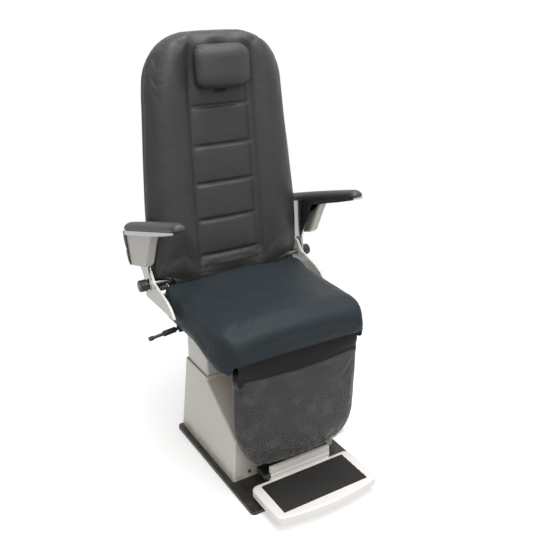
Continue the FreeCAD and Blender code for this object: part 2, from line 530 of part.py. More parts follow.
def lift_pieces():
    """The lifting column, its drive, the sliding cover and the plate on top."""
    foot_z = "plate_h + flange_h"
    tube = hollow_column("column_w / 2", "column_d / 2", "column_wall", foot_z, "column_top_z")
    flange = block(("-flange_w / 2", "flange_w / 2"), ("column_y - flange_d / 2", "column_y + flange_d / 2"),
                   ("plate_h", foot_z))
    holes, bolts = [], []
    for side in ("-", ""):
        for end in ("-", ""):
            at = (side + "bolt_dx / 2", "column_y + %s1 * bolt_dy / 2" % end)
            holes.append(rod("Z", "bolt_r + bolt_gap", "plate_h - over", "%s + over" % foot_z, at))
            bolts.append(bolt("Z", foot_z, "%s - bolt_len" % foot_z, "bolt_r", "bolt_head_r", "bolt_head_h",
                              at))
    part(fuse(tube, cut(flange, *holes)), "outer_column")
    part(set_of(*bolts), "column_bolts")
    inner_w = "column_w / 2 - column_wall - glide_t - glide_gap"
    inner_d = "column_d / 2 - column_wall - glide_t - glide_gap"
    part(glides("column_top_z - glide_h - glide_inset", "(%s + glide_gap)" % inner_w,
                "(%s + glide_gap)" % inner_d),
         "upper_glides")
    part(hollow_column(inner_w, inner_d, "inner_wall", "inner_bottom_z", "carrier_z"), "inner_column")
    part(glides("inner_bottom_z", inner_w, inner_d), "lower_glides")

    at = ("drive_x", "drive_y")
    pin_z = "gear_z - drive_pin_drop"
    gear = block(("drive_x - gear_w / 2", "drive_x + gear_w / 2"),
                 ("drive_y - gear_d + tube_r", "drive_y + tube_r"),
                 ("gear_z", "gear_z + gear_h"))
    lug = block(("drive_x - lug_w / 2", "drive_x + lug_w / 2"),
                ("drive_y - lug_h / 2", "drive_y + lug_h / 2"),
                ("%s - lug_h / 2 + bolt_r" % pin_z, "gear_z"))
    pin_hole = rod("X", "drive_pin_r + fit_gap", "drive_x - gear_w", "drive_x + gear_w", ("drive_y", pin_z))
    part(cut(fuse(eased(gear, "box_edge", along(Vector(0, 0, 1))), lug), pin_hole), "drive_gearbox")
    motor = rod("Z", "motor_r", "gear_z + gear_h", "gear_z + gear_h + motor_h", ("drive_x", "motor_y"))
    part(eased(motor, "box_edge", lambda edge: edge.BoundBox.ZMin > size("gear_z + gear_h + over")),
         "drive_motor")
    tube = rod("Z", "tube_r", "tube_bottom_z", "tube_top_z", at)
    bore = rod("Z", "rod_r + rod_gap", "tube_bottom_z + over", "tube_top_z + over", at)
    part(cut(tube, bore), "drive_tube")
    ears = []
    for side in ("-1", "1"):
        ends = ["drive_x + (%s) * (lug_w / 2 + ear_gap)" % side,
                "drive_x + (%s) * (lug_w / 2 + ear_gap + ear_w)" % side]
        ends = tuple(sorted(ends, key=size))
        ears.append(block(ends, ("drive_y - lug_h / 2", "drive_y + lug_h / 2"),
                          ("plate_h", "%s + lug_h / 2" % pin_z)))
    part(set_of(*[cut(ear, drive_pin_hole(pin_z)) for ear in ears]), "drive_bracket")
    part(rod("X", "drive_pin_r", "drive_x - drive_pin_len / 2", "drive_x + drive_pin_len / 2",
             ("drive_y", pin_z)),
         "drive_foot_pin")
    top_pin_z = "carrier_z - drive_pin_drop - over"
    shaft = rod("Z", "rod_r", "rod_bottom_z", "%s + lug_h / 2" % top_pin_z, at)
    part(cut(shaft, drive_pin_hole(top_pin_z)), "drive_rod")
    part(rod("X", "drive_pin_r", "drive_x - drive_pin_len / 2", "drive_x + drive_pin_len / 2",
             ("drive_y", top_pin_z)),
         "drive_top_pin")

    half = "cover_top_w / 2 - cover_wall - sleeve_gap"
    front = "cover_mouth_y + cover_wall + sleeve_gap"
    rear = "cover_rear_top_y - cover_wall - sleeve_gap"
    outer = eased(block(("-(%s)" % half, half), (front, rear), ("sleeve_bottom_z", "carrier_z")),
                  "cover_round",
                  along(Vector(0, 0, 1)))
    inner = block(("-(%s) + sleeve_wall" % half, "%s - sleeve_wall" % half),
                  ("%s + sleeve_wall" % front, "%s - sleeve_wall" % rear),
                  ("sleeve_bottom_z - over", "carrier_z - sleeve_wall"))
    window = block(("-(%s) + sleeve_lip" % half, "%s - sleeve_lip" % half),
                   ("%s + sleeve_lip" % front, "%s - sleeve_lip" % rear),
                   ("carrier_z - over", "carrier_z + over"))
    part(cut(outer, eased(inner, "cover_round - sleeve_wall", along(Vector(0, 0, 1))), window), "upper_cover")
    plate = block(("-(%s) + carrier_edge" % half, "%s - carrier_edge" % half),
                  ("%s + carrier_edge" % front, "%s - carrier_edge" % rear),
                  ("carrier_z", "carrier_z + carrier_h"))
    ears = []
    for side in ("-1", "1"):
        ends = ["drive_x + (%s) * (rod_r + ear_gap)" % side,
                "drive_x + (%s) * (rod_r + ear_gap + ear_w)" % side]
        ears.append(block(tuple(sorted(ends, key=size)), ("drive_y - lug_h / 2", "drive_y + lug_h / 2"),
                          ("%s - lug_h / 2" % top_pin_z, "carrier_z")))
    lugs = cut(fuse(ears[0], ears[1]), drive_pin_hole(top_pin_z))
    part(fuse(eased(plate, "box_edge", along(Vector(0, 0, 1))), lugs), "carrier_plate")


def drive_pin_hole(height):
    """A cross hole for the drive's pin at a height."""
    return rod("X", "drive_pin_r + fit_gap", "drive_x - gear_w", "drive_x + gear_w", ("drive_y", height))


def tube_rail(x, y, z):
    """A square tube: a box hollowed along its longest way."""
    outer = block(x, y, z)
    lengths = [size("(%s) - (%s)" % (high, low)) for low, high in (x, y, z)]
    longest = lengths.index(max(lengths))
    inner = []
    for number, (low, high) in enumerate((x, y, z)):
        shift = "over" if number == longest else "-rail_wall"
        inner.append(("(%s) - (%s)" % (low, shift), "(%s) + (%s)" % (high, shift)))
    return outer, block(*inner)


def seat_pieces():
    """The seat frame, the axle behind it, the pan, the cushion and the side plates."""
    low, high = "carrier_z + carrier_h", "carrier_z + carrier_h + rail_h"
    solids, hollows = [], []
    for side in ("-1", "1"):
        ends = tuple(sorted(["(%s) * rail_x" % side, "(%s) * (rail_x - rail_w)" % side], key=size))
        outer, inner = tube_rail(ends, ("rail_front_y", "rail_rear_y"), (low, high))
        solids.append(outer)
        hollows.append(inner)
    for place in ("rail_front_y", "cross_mid_y", "cross_rear_y"):
        outer, inner = tube_rail(("-rail_x + rail_w", "rail_x - rail_w"), (place, "%s + rail_w" % place),
                                 (low, high))
        solids.append(outer)
        hollows.append(block(("-rail_x + rail_w + rail_wall", "rail_x - rail_w - rail_wall"),
                             ("%s + rail_wall" % place, "%s + rail_w - rail_wall" % place),
                             ("%s + rail_wall" % low, "%s - rail_wall" % high)))
    frame = cut(fuse(*solids), *hollows)
    holes = []
    ears = []
    for side in ("-1", "1"):
        ends = tuple(sorted(["(%s) * rail_x" % side, "(%s) * (rail_x - ear_t)" % side], key=size))
        ears.append(block(ends, ("axle_y - ear_half", "axle_y + ear_half"), (high, "axle_z")))
        ears.append(rod("X", "ear_r", ends[0], ends[1], ("axle_y", "axle_z")))
        ends = tuple(sorted(["(%s) * leg_pin_x" % side, "(%s) * (leg_pin_x - leg_arm_t)" % side], key=size))
        ears.append(rod("X", "leg_eye_r", ends[0], ends[1], ("leg_y", "leg_z")))
        ears.append(block(ends, ("leg_y", "rail_front_y"),
                          ("leg_z - leg_eye_r / 2", "leg_z + leg_eye_r / 2")))
    holes.append(rod("X", "axle_r + fit_gap", "-rail_x - over", "rail_x + over", ("axle_y", "axle_z")))
    holes.append(rod("X", "leg_pin_r + fit_gap", "-rail_x - over", "rail_x + over", ("leg_y", "leg_z")))
    holes.append(rod("Y", "lever_pin_r + fit_gap", "lever_y - lever_ear_w", "lever_y + lever_ear_w",
                     ("-lever_x", "lever_z")))
    lever_ears = []
    for side in ("-1", "1"):
        ends = ["lever_y + (%s) * (lever_r + ear_gap)" % side,
                "lever_y + (%s) * (lever_r + ear_gap + lever_ear_t)" % side]
        lever_ears.append(block(("-lever_x - lever_ear_w / 2", "-rail_x"), tuple(sorted(ends, key=size)),
                                ("lever_z - lever_ear_w / 2", "lever_z + lever_ear_w / 2")))
    part(cut(fuse(frame, *ears, *lever_ears), *holes), "seat_frame")

    shaft = rod("X", "axle_r", "-side_x - side_t - washer_t", "side_x + side_t + washer_t",
                ("axle_y", "axle_z"))
    ends = rod("X", "axle_end_r", "-axle_end_x", "axle_end_x", ("axle_y", "axle_z"))
    part(fuse(shaft, ends), "back_axle")

    half = "pan_w / 2"
    outline = [("-" + half, "pan_front_y"), (half, "pan_front_y"), (half, "pan_rear_y"),
               ("-" + half, "pan_rear_y")]
    part(sheet_piece("XY", outline, "pan_t", high, "pan_round"), "seat_pan")
    part(seat_form(), "seat_cushion")

    side = sheet_piece("YZ", side_outline(), "side_t", "side_x", "side_round")
    hole = rod("X", "axle_r + fit_gap", "side_x - over", "side_x + side_t + over", ("axle_y", "axle_z"))
    left = cut(side, hole)
    part(left, "side_plate_left")
    part(mirrored(left), "side_plate_right")
    spacers, washers = [], []
    for side in ("-1", "1"):
        ends = sorted(["(%s) * rail_x" % side, "(%s) * side_x" % side], key=size)
        spacers.append(rod("X", "spacer_r", ends[0], ends[1], ("spacer_y", "spacer_z")))
        ends = sorted(["(%s) * (side_x + side_t)" % side, "(%s) * (side_x + side_t + washer_t)" % side],
                      key=size)
        ring = rod("X", "washer_r", ends[0], ends[1], ("axle_y", "axle_z"))
        washers.append(cut(ring, rod("X", "axle_r + fit_gap", "%s - over" % ends[0], "%s + over" % ends[1],
                                     ("axle_y", "axle_z"))))
    part(set_of(*spacers), "side_spacers")
    part(set_of(*washers), "arm_washers")
    pins = []
    for side in ("-1", "1"):
        ends = sorted(["(%s) * (leg_pin_x + leg_arm_t + over)" % side,
                       "(%s) * (leg_pin_x - leg_arm_t - over)" % side], key=size)
        pins.append(rod("X", "leg_pin_r", ends[0], ends[1], ("leg_y", "leg_z")))
    part(set_of(*pins), "leg_pins")
    part(rod("Y", "lever_pin_r", "lever_y - lever_r - ear_gap - lever_ear_t",
             "lever_y + lever_r + ear_gap + lever_ear_t",
             ("-lever_x", "lever_z")), "lever_pin")


def side_outline():
    """The side plate: a long wedge that rises to the rear, up round the axle."""
    return [
        ("side_tip_y", "side_low_z"),
        ("side_rear_y", "side_low_z"),
        ("side_rear_y + side_t", "axle_z"),
        ("side_rear_y", "axle_z + axle_r * 3.4"),
        ("axle_y + axle_r * 2.4", "axle_z + axle_r * 5"),
        ("axle_y", "axle_z + axle_r * 4.6"),
        ("side_neck_y + side_t", "side_neck_z + side_t"),
        ("side_neck_y", "side_neck_z"),
        ("side_mid_y", "side_mid_z"),
        ("(side_mid_y + side_tip_y) / 2", "(side_mid_z + side_low_z) / 2 + side_t"),
    ]


def seat_form():
    """The seat cushion: bulging sides, a low crown, a long rounded nose and rounded front corners."""
    low = size("carrier_z + carrier_h + rail_h + pan_t + soft_gap")
    rear, front = size("seat_rear_y"), size("seat_front_y")
    top, rise = size("seat_top_z"), size("seat_rear_rise")
    crown, inset = size("seat_crown"), size("seat_inset")
    sections = []
    for share, top_share, floor_share, width_share in SEAT_SHARES:
        y = rear + (front - rear) * share
        high = low + (top - low) * top_share + rise * (1 - share)
        floor = low + (top - low) * floor_share
        half = size("seat_half") * width_share

        def place(across, up, y=y):
            return Vector(across, y, up)

        sections.append(crowned(place, half, floor, high, inset / size("seat_half"),
                                crown * 3 / (high - floor)))
    return soft("SeatForm", sections)


def arm_pieces():
    """Both armrests with their covers, pads, trims and clamping knobs."""
    inner = "side_x + side_t + washer_t"
    outer = "%s + arm_t" % inner
    pad_low = "arm_pad_z"
    frame = sheet_piece("YZ", [
        ("arm_eye_r * 0.8", "-arm_eye_r * 0.5"),
        ("arm_eye_r * 1.4", "arm_cover_low * 0.6"),
        ("arm_rear * 0.75", "arm_cover_low * 0.9"),
        ("arm_rear * 0.8", "arm_pad_z - arm_beam_h"),
        ("-arm_pad_front * 0.34", "arm_pad_z - arm_beam_h"),
        ("-arm_pad_front * 0.2", "arm_cover_low * 1.7"),
        ("-arm_pad_front * 0.075", "arm_cover_low * 0.8"),
        ("-arm_eye_r * 0.9", "0"),
        ("-arm_eye_r * 0.5", "-arm_eye_r * 0.8"),
    ], "arm_t", inner, "side_round")
    eye = rod("X", "arm_eye_r", inner, outer, ("0", "0"))
    beam_x = inner
    beam = sheet_piece("YZ", [
        ("arm_rear * 0.8", "arm_pad_z - arm_beam_h"),
        ("arm_rear * 0.8", "arm_pad_z"),
        ("-arm_pad_front * 0.985", "arm_pad_z"),
        ("-arm_pad_front * 0.97", "arm_pad_z - arm_beam_h * 0.45"),
        ("-arm_pad_front * 0.75", "arm_pad_z - arm_beam_h * 0.8"),
        ("-arm_pad_front * 0.5", "arm_pad_z - arm_beam_h"),
    ], "arm_beam_w", beam_x)
    axle_hole = rod("X", "axle_end_r + fit_gap", "%s - over" % inner, "%s + over" % outer, ("0", "0"))
    frame = cut(fuse(frame, eye, beam), axle_hole)
    pair(tilt(frame, "arm_tilt", "axle_y", "axle_z"), "arm_frame")

    cover_outline = [
        ("arm_rear * 0.86", "arm_cover_low"),
        ("arm_rear * 0.86", "arm_pad_z - arm_beam_h - fit_gap"),
        ("-arm_pad_front * 0.46", "arm_pad_z - arm_beam_h - fit_gap"),
        ("-arm_pad_front * 0.39", "arm_pad_z * 0.78"),
        ("-arm_pad_front * 0.24", "arm_cover_low * 1.12"),
        ("-arm_pad_front * 0.19", "arm_cover_low"),
    ]
    body = sheet_piece("YZ", cover_outline, "arm_cover_t", outer, "side_round")
    room_wall = "arm_cover_wall * 2"
    room = sheet_piece("YZ", [
        ("arm_rear * 0.86 - %s" % room_wall, "arm_cover_low + arm_cover_wall"),
        ("arm_rear * 0.86 - %s" % room_wall, "arm_pad_z - arm_beam_h - fit_gap - arm_cover_wall"),
        ("-arm_pad_front * 0.46 + arm_cover_wall * 6", "arm_pad_z - arm_beam_h - fit_gap - arm_cover_wall"),
        ("-arm_pad_front * 0.2 + %s" % room_wall, "arm_cover_low + arm_cover_wall"),
    ], "arm_cover_t - arm_cover_wall + over", "%s - over" % outer)
    pair(tilt(cut(body, room), "arm_tilt", "axle_y", "axle_z"), "arm_cover")

    trim = sheet_piece("YZ", [
        ("arm_rear * 0.86", "arm_pad_z - fit_gap"),
        ("arm_rear * 1.1", "arm_pad_z - fit_gap"),
        ("arm_rear * 1.22", "arm_pad_z * 0.86"),
        ("arm_rear * 1.12", "arm_pad_z * 0.7"),
        ("arm_rear * 1.05", "arm_pad_z * 0.67"),
        ("arm_rear * 1.15", "arm_pad_z * 0.62"),
        ("arm_rear * 1.08", "arm_pad_z * 0.45"),
        ("arm_rear * 0.86", "arm_cover_low"),
    ], "arm_trim_w", inner)
    pair(tilt(trim, "arm_tilt", "axle_y", "axle_z"), "arm_trim")

    pad = pad_form()
    pair(tilt(pad, "arm_tilt", "axle_y", "axle_z"), "arm_pad")

    stem = rod("X", "knob_stem_r", "%s + fit_gap" % outer, "%s + knob_stem_t + fit_gap" % outer,
               ("axle_y", "axle_z"))
    head = rod("X", "knob_r", "%s + knob_stem_t" % outer, "%s + knob_stem_t + knob_t" % outer,
               ("axle_y", "axle_z"))
    head = eased(head, "side_round", lambda edge: edge.Closed)
    bore = rod("X", "axle_end_r + fit_gap", "%s - over" % outer, "axle_end_x + ear_gap", ("axle_y", "axle_z"))
    pair(cut(fuse(stem, head), bore), "clamp_knob")


def pad_form():
    """An armrest pad: a long crowned form with rounded ends."""
    rear, front = size("arm_pad_rear"), -size("arm_pad_front")
    middle = size("(arm_pad_in + arm_pad_out) / 2")
    low = size("arm_pad_z + soft_gap")
    half, height = size("(arm_pad_out - arm_pad_in) / 2"), size("arm_pad_h")
    sections = []
    for share, width, swell in PAD_SHARES:
        y = rear + (front - rear) * share

        def place(across, up, y=y):
            return Vector(middle + across, y, up)

        sections.append(crowned(place, half * width, low, low + height * swell, *PAD_SECTION_SHARES))
    return soft("PadForm", sections)


def pair(left, name):
    """A left-hand piece and its mirrored twin."""
    part(left, name + "_left")
    part(mirrored(left), name + "_right")


def back_half(height):
    """The backrest's half width at a height up its own axis."""
    stops = [("back_low_v", "back_low_half"), ("back_low_v * 8", "back_wide_half"),
             ("back_low_v * 16", "back_wide_half"),
             ("back_top_v * 0.48", "back_mid_half"), ("back_top_v * 0.76", "back_high_half")]
    places = [(size(a), size(b)) for a, b in stops]
    for (low, first), (high, last) in zip(places, places[1:]):
        if height <= high:
            return first + (last - first) * max(0, height - low) / (high - low)
    return places[-1][1]


def back_section(v, half, rear, bolster, groove, crest):
    """Six edges: rear line, two bulging sides, two bolsters and the sewn panel between them."""
    top = size("back_top_v")
    shares = BACK_SECTION_SHARES
    seam = min(size("seam_half") * (1 - shares["seam_taper"] * max(v, 0) / top), half * shares["seam_most"])
    corner = half * shares["corner"]
    shoulder = rear + (bolster - rear) * shares["shoulder"]
    crown_x = (seam + corner) / 2

    def place(x, n):
        return Vector(x, n, v)

    return [
        line(place(-corner, rear), place(corner, rear)),
        arc(place(corner, rear), place(half, (rear + shoulder) / 2), place(corner, shoulder)),
        arc(place(corner, shoulder), place(crown_x, bolster), place(seam, groove)),
        arc(place(seam, groove), place(0, crest), place(-seam, groove)),
        arc(place(-seam, groove), place(-crown_x, bolster), place(-corner, shoulder)),
        arc(place(-corner, shoulder), place(-half, (rear + shoulder) / 2), place(-corner, rear)),
    ]


def back_form():
    """The backrest cushion, with side bolsters and channels sewn across the middle panel."""
    top, roll = size("back_top_v"), size("roll_r")
    rear, bolster = size("back_rear_n"), size("bolster_n")
    groove, crest, channel = size("seam_n"), size("panel_n"), size("channel_n")
    sections = []
    for up, back, front, width in BACK_LOW_SHARES:
        reach = -roll * front
        rounding = size("roll_ease") + max(up, 0) * size("roll_ease * 5")
        sections.append((up * roll, back_half(0) * width, min(roll * back, rear),
                         reach - rounding, reach + rounding * 2, reach))
    first, pitch = size("channel_first_v"), size("channel_pitch")
    sections.append((first / 2, back_half(first / 2), rear, bolster, groove, crest))
    v = first
    main_top = top * BACK_SECTION_SHARES["top"]
    while v < main_top:
        sections.append((v, back_half(v), rear, bolster, groove, channel))
        if v + pitch / 2 < main_top:
            sections.append((v + pitch / 2, back_half(v + pitch / 2), rear, bolster, groove, crest))
        v += pitch
    wide = back_half(top)
    crown = BACK_CROWN_SHARES
    for share, width, depth in BACK_TOP_SHARES:
        ease = min(1, crown["start"] + (1 - share) * crown["pace"])
        flat = bolster + (crest - bolster) * crown["level"]
        ends = [flat + (value - flat) * ease for value in (bolster, groove, crest)]
        middle = rear + (bolster - rear) * crown["middle"]
        fronts = [middle + (value - middle) * depth for value in ends]
        back = middle + (rear - middle) * (crown["rear"] + (1 - crown["rear"]) * depth)
        sections.append((top * share, wide * width, back, fronts[0], fronts[1], fronts[2]))
    sections.sort(key=lambda section: section[0])
    return soft("BackForm", [back_section(*section) for section in sections])


def back_pieces():
    """The backrest: cushion, board, steel frame, rear shell, bushes and the head cushion's rail."""
    notches = []
    for side in ("-1", "1"):
        ends = ["(%s) * (rail_x - ear_t - notch_gap)" % side, "(%s) * notch_out_x" % side]
        ends.sort(key=size)
        notches.append(rod("X", "ear_r + notch_gap", ends[0], ends[1], ("0", "0")))
        notches.append(block(tuple(ends), ("-ear_r", "roll_r * 2"), ("-roll_r * 2", "back_low_v")))
    notches.append(rod("X", "axle_r + axle_bore_gap", "-back_wide_half - over", "back_wide_half + over",
                       ("0", "0")))
    slot = block(("-slot_w / 2 - soft_gap", "slot_w / 2 + soft_gap"),
                 ("bolster_n - over", "panel_n + slot_d + soft_gap"),
                 ("slot_low_v - soft_gap", "slot_high_v + soft_gap"))
    part(tilt(cut(back_form(), slot, *notches), "back_tilt", "axle_y", "axle_z"), "back_cushion")

    board_n = "back_rear_n + soft_gap"
    board = sheet_piece("XZ", [
        ("-board_half", "board_low_v"), ("board_half", "board_low_v"), ("board_half", "board_shoulder_v"),
        ("board_top_half", "board_top_v"), ("-board_top_half", "board_top_v"),
        ("-board_half", "board_shoulder_v"),
    ], "board_t", "%s + board_t" % board_n, "pan_round / 2")
    part(tilt(board, "back_tilt", "axle_y", "axle_z"), "back_board")

    face = "%s + board_t" % board_n
    bars = [block(("-hinge_x", "hinge_x"), (face, "%s + cross_t" % face), ("cross_low_v", "hinge_foot_v"))]
    holes = []
    for side in ("-1", "1"):
        start = sorted(["(%s) * hinge_x" % side, "(%s) * (hinge_x + ear_t)" % side], key=size)
        arm = sheet_piece("YZ", [
            ("-ear_r * 0.7", "-ear_r * 0.7"), ("ear_r * 1.7", "-ear_r * 0.8"), ("hinge_out_n", "ear_r * 0.6"),
            ("hinge_out_n", "hinge_foot_v"), ("hinge_in_n", "hinge_foot_v"),
            ("hinge_in_n", "back_low_v - notch_gap"),
            ("0", "back_low_v - notch_gap"),
        ], "ear_t", start[0])
        bars.append(arm)
        bars.append(rod("X", "ear_r", start[0], start[1], ("0", "0")))
        holes.append(rod("X", "axle_r + bush_wall", "%s - over" % start[0], "%s + over" % start[1],
                         ("0", "0")))
    part(tilt(cut(fuse(*bars), *holes), "back_tilt", "axle_y", "axle_z"), "back_frame")
    bushes = []
    for side in ("-1", "1"):
        start = sorted(["(%s) * hinge_x" % side, "(%s) * (hinge_x + ear_t)" % side], key=size)
        ring = rod("X", "axle_r + bush_wall", start[0], start[1], ("0", "0"))
        bushes.append(cut(ring, rod("X", "axle_r + fit_gap", "%s - over" % start[0], "%s + over" % start[1],
                                    ("0", "0"))))
    part(tilt(set_of(*bushes), "back_tilt", "axle_y", "axle_z"), "back_bushes")
    part(tilt(shell_form(), "back_tilt", "axle_y", "axle_z"), "back_shell")

    rail = block(("-slot_w / 2", "slot_w / 2"), ("panel_n + soft_gap", "panel_n + slot_d"),
                 ("slot_low_v", "slot_high_v"))
    room = block(("-slot_w / 2 + slot_wall", "slot_w / 2 - slot_wall"),
                 ("panel_n + slot_wall + soft_gap", "panel_n + slot_d - slot_wall"),
                 ("slot_low_v - over", "slot_high_v + over"))
    mouth = block(("-slot_mouth / 2", "slot_mouth / 2"), ("panel_n - over", "panel_n + slot_wall + over"),
                  ("slot_low_v - over", "slot_high_v + over"))
    part(tilt(cut(rail, room, mouth), "back_tilt", "axle_y", "axle_z"), "head_rail")


def shell_form():
    """The rear shell: a shallow tray with round corners, open to the front and below."""
    high = "back_top_v - shell_inset / 3"
    half = "back_high_half"
    outline = [
        ("-back_wide_half + shell_inset", "shell_low_v"), ("back_wide_half - shell_inset", "shell_low_v"),
        ("%s - shell_inset" % half, "back_top_v * 0.76"), ("%s * 0.66" % half, high),
        ("-%s * 0.66" % half, high), ("-%s + shell_inset" % half, "back_top_v * 0.76"),
    ]
    depth = "shell_rear_n - back_rear_n - soft_gap"
    body = sheet_piece("XZ", outline, depth, "shell_rear_n")
    doc.recompute()
    pad = body.Tip
    upright = along(Vector(0, 1, 0))
    names = [
        "Edge%d" % number for number, edge in enumerate(pad.Shape.Edges, start=1)
        if upright(edge) and edge.CenterOfMass.z > size("back_top_v / 2")
    ]
    corners = body.newObject("PartDesign::Fillet", "Corners")
    corners.Base = (pad, names)
    bind(corners, Radius="shell_corner")
    doc.recompute()
    rear = [
        "Edge%d" % number for number, edge in enumerate(corners.Shape.Edges, start=1)
        if edge.BoundBox.YLength < 1e-6 and edge.CenterOfMass.y > -size(depth) / 2
        and edge.CenterOfMass.z > size("shell_low_v + over")
    ]
    rim = body.newObject("PartDesign::Fillet", "Rim")
    rim.Base = (corners, rear)
    bind(rim, Radius="shell_edge")
    doc.recompute()
    open_faces = []
    for number, face in enumerate(rim.Shape.Faces, start=1):
        centre, box = face.CenterOfMass, face.BoundBox
        if box.YLength < 1e-6 and centre.y < -size(depth) / 2:
            open_faces.append("Face%d" % number)
        if box.ZLength < 1e-6 and centre.z < size("shell_low_v + over"):
            open_faces.append("Face%d" % number)
    wall = body.newObject("PartDesign::Thickness", "Wall")
    wall.Base = (rim, open_faces)
    bind(wall, Value="shell_wall")
    wall.Reversed = True
    return body


def head_pieces():
    """The head cushion and the slider that holds it in the rail."""
    low, high = size("head_low_v"), size("head_high_v")
    rear, front = size("head_rear_n"), size("head_front_n")
    sections = []
    for share, width, depth in HEAD_SHARES:
        v = low + (high - low) * share

        def place(across, up, v=v):
            return Vector(across, -up, v)

        face = -rear + (rear - front) * depth
        sections.append(crowned(place, size("head_w / 2") * width, -rear, face, *HEAD_SECTION_SHARES))
    part(tilt(soft("HeadForm", sections), "back_tilt", "axle_y", "axle_z"), "head_cushion")
    plate = block(("-plate_half", "plate_half"),
                  ("head_rear_n + soft_gap", "bolster_n + over - slider_gap * 2"),
                  ("plate_low_v", "plate_high_v"))
    neck = block(("-slot_mouth / 2 + slider_gap", "slot_mouth / 2 - slider_gap"),
                 ("head_rear_n + soft_gap", "panel_n + slot_wall + slider_gap * 3"),
                 ("slider_low_v", "slider_high_v"))
    foot = block(("-slot_w / 2 + slot_wall + slider_gap", "slot_w / 2 - slot_wall - slider_gap"),
                 ("panel_n + slot_wall + slider_gap * 2", "panel_n + slot_d - slot_wall - slider_gap"),
                 ("slider_low_v", "slider_high_v"))
    part(tilt(fuse(plate, neck, foot), "back_tilt", "axle_y", "axle_z"), "head_slider")


def leg_pieces():
    """The leg rest: plate with hinge arms, cushion, and the blocks that carry the footrest."""
    face = "leg_rear_n + soft_gap"
    half, low_half = "leg_plate_half", "leg_plate_low_half"
    plate = sheet_piece("XZ", [
        ("-" + half, "-leg_plate_top_drop"), (half, "-leg_plate_top_drop"),
        (half, "-leg_plate_shoulder_drop"),
        (low_half, "-leg_plate_low_drop"), ("leg_tongue_half", "-leg_plate_low_drop"),
        ("leg_tongue_half", "-leg_tongue_drop"), ("-leg_tongue_half", "-leg_tongue_drop"),
        ("-leg_tongue_half", "-leg_plate_low_drop"), ("-" + low_half, "-leg_plate_low_drop"),
        ("-" + half, "-leg_plate_shoulder_drop"),
    ], "leg_plate_t", "%s + leg_plate_t" % face, "box_edge")
    pieces, slots = [plate], []
    for side in ("-1", "1"):
        ends = tuple(sorted(["(%s) * (leg_pin_x + ear_gap)" % side,
                             "(%s) * (leg_pin_x + ear_gap + leg_arm_t)" % side], key=size))
        pieces.append(rod("X", "leg_eye_r", ends[0], ends[1], ("0", "0")))
        pieces.append(block(ends, ("-leg_arm_half", "leg_arm_half"), ("-leg_arm_drop", "0")))
        pieces.append(block(ends, ("0", face), ("-leg_arm_drop", "-leg_plate_top_drop")))
        wide = ("(%s) - slot_gap" % ends[0], "(%s) + slot_gap" % ends[1])
        slots.append(block(wide, ("-leg_eye_r - slot_gap", "%s + over" % face),
                           ("-leg_arm_drop - slot_gap", "0")))
        inner = ["(%s) * (leg_pin_x - leg_arm_t * 2)" % side, "(%s) * (leg_pin_x + leg_arm_t * 2)" % side]
        inner.sort(key=size)
        slots.append(rod("X", "leg_eye_r + slot_gap", inner[0], inner[1], ("0", "0")))
    hole = rod("X", "leg_pin_r + fit_gap", "-rail_x", "rail_x", ("0", "0"))
    part(put(cut(fuse(*pieces), hole), "0", "leg_y", "leg_z"), "leg_frame")
    part(put(cut(leg_form(), *slots), "0", "leg_y", "leg_z"), "leg_cushion")

    blocks = []
    tongue_y = "leg_y + %s" % face
    for side in ("-1", "1"):
        ends = ["(%s) * (foot_up_half + block_gap)" % side,
                "(%s) * (foot_up_half + block_gap + block_w)" % side]
        ends.sort(key=size)
        span = ("foot_axis_z - block_r", "foot_axis_z + block_r")
        body = fuse(rod("X", "block_r", ends[0], ends[1], ("foot_axis_y", "foot_axis_z")),
                    block(tuple(ends), ("foot_axis_y", tongue_y), span))
        bore = rod("X", "foot_pin_r + fit_gap", "%s - over" % ends[0], "%s + over" % ends[1],
                   ("foot_axis_y", "foot_axis_z"))
        blocks.append(cut(body, bore))
    link = block(("-foot_up_half - block_gap", "foot_up_half + block_gap"),
                 ("%s - block_r" % tongue_y, tongue_y), span)
    part(fuse(*blocks, link), "foot_hinge")
    pin_half = "(foot_up_half + block_gap + block_w)"
    part(rod("X", "foot_pin_r", "-" + pin_half, pin_half, ("foot_axis_y", "foot_axis_z")), "foot_pin")


def leg_form():
    """The leg cushion: thin at the knee, thicker below, with a narrower rounded foot."""
    top, low = -size("leg_top_drop"), -size("leg_low_drop")
    rear, front, front_low = size("leg_rear_n"), size("leg_front_n"), size("leg_front_low_n")
    wide = size("leg_half")
    wires = []
    for share, width, depth in LEG_SHARES:
        z = top + (low - top) * share
        face = front + (front_low - front) * share

        def place(across, up, z=z):
            return Vector(across, -up, z)

        high = -rear + (rear - face) * depth
        crown = size("leg_crown") * 2 / (high + rear)
        wires.append(crowned(place, wide * width, -rear, high, size("leg_inset") / wide, crown))
    return soft("LegForm", wires)


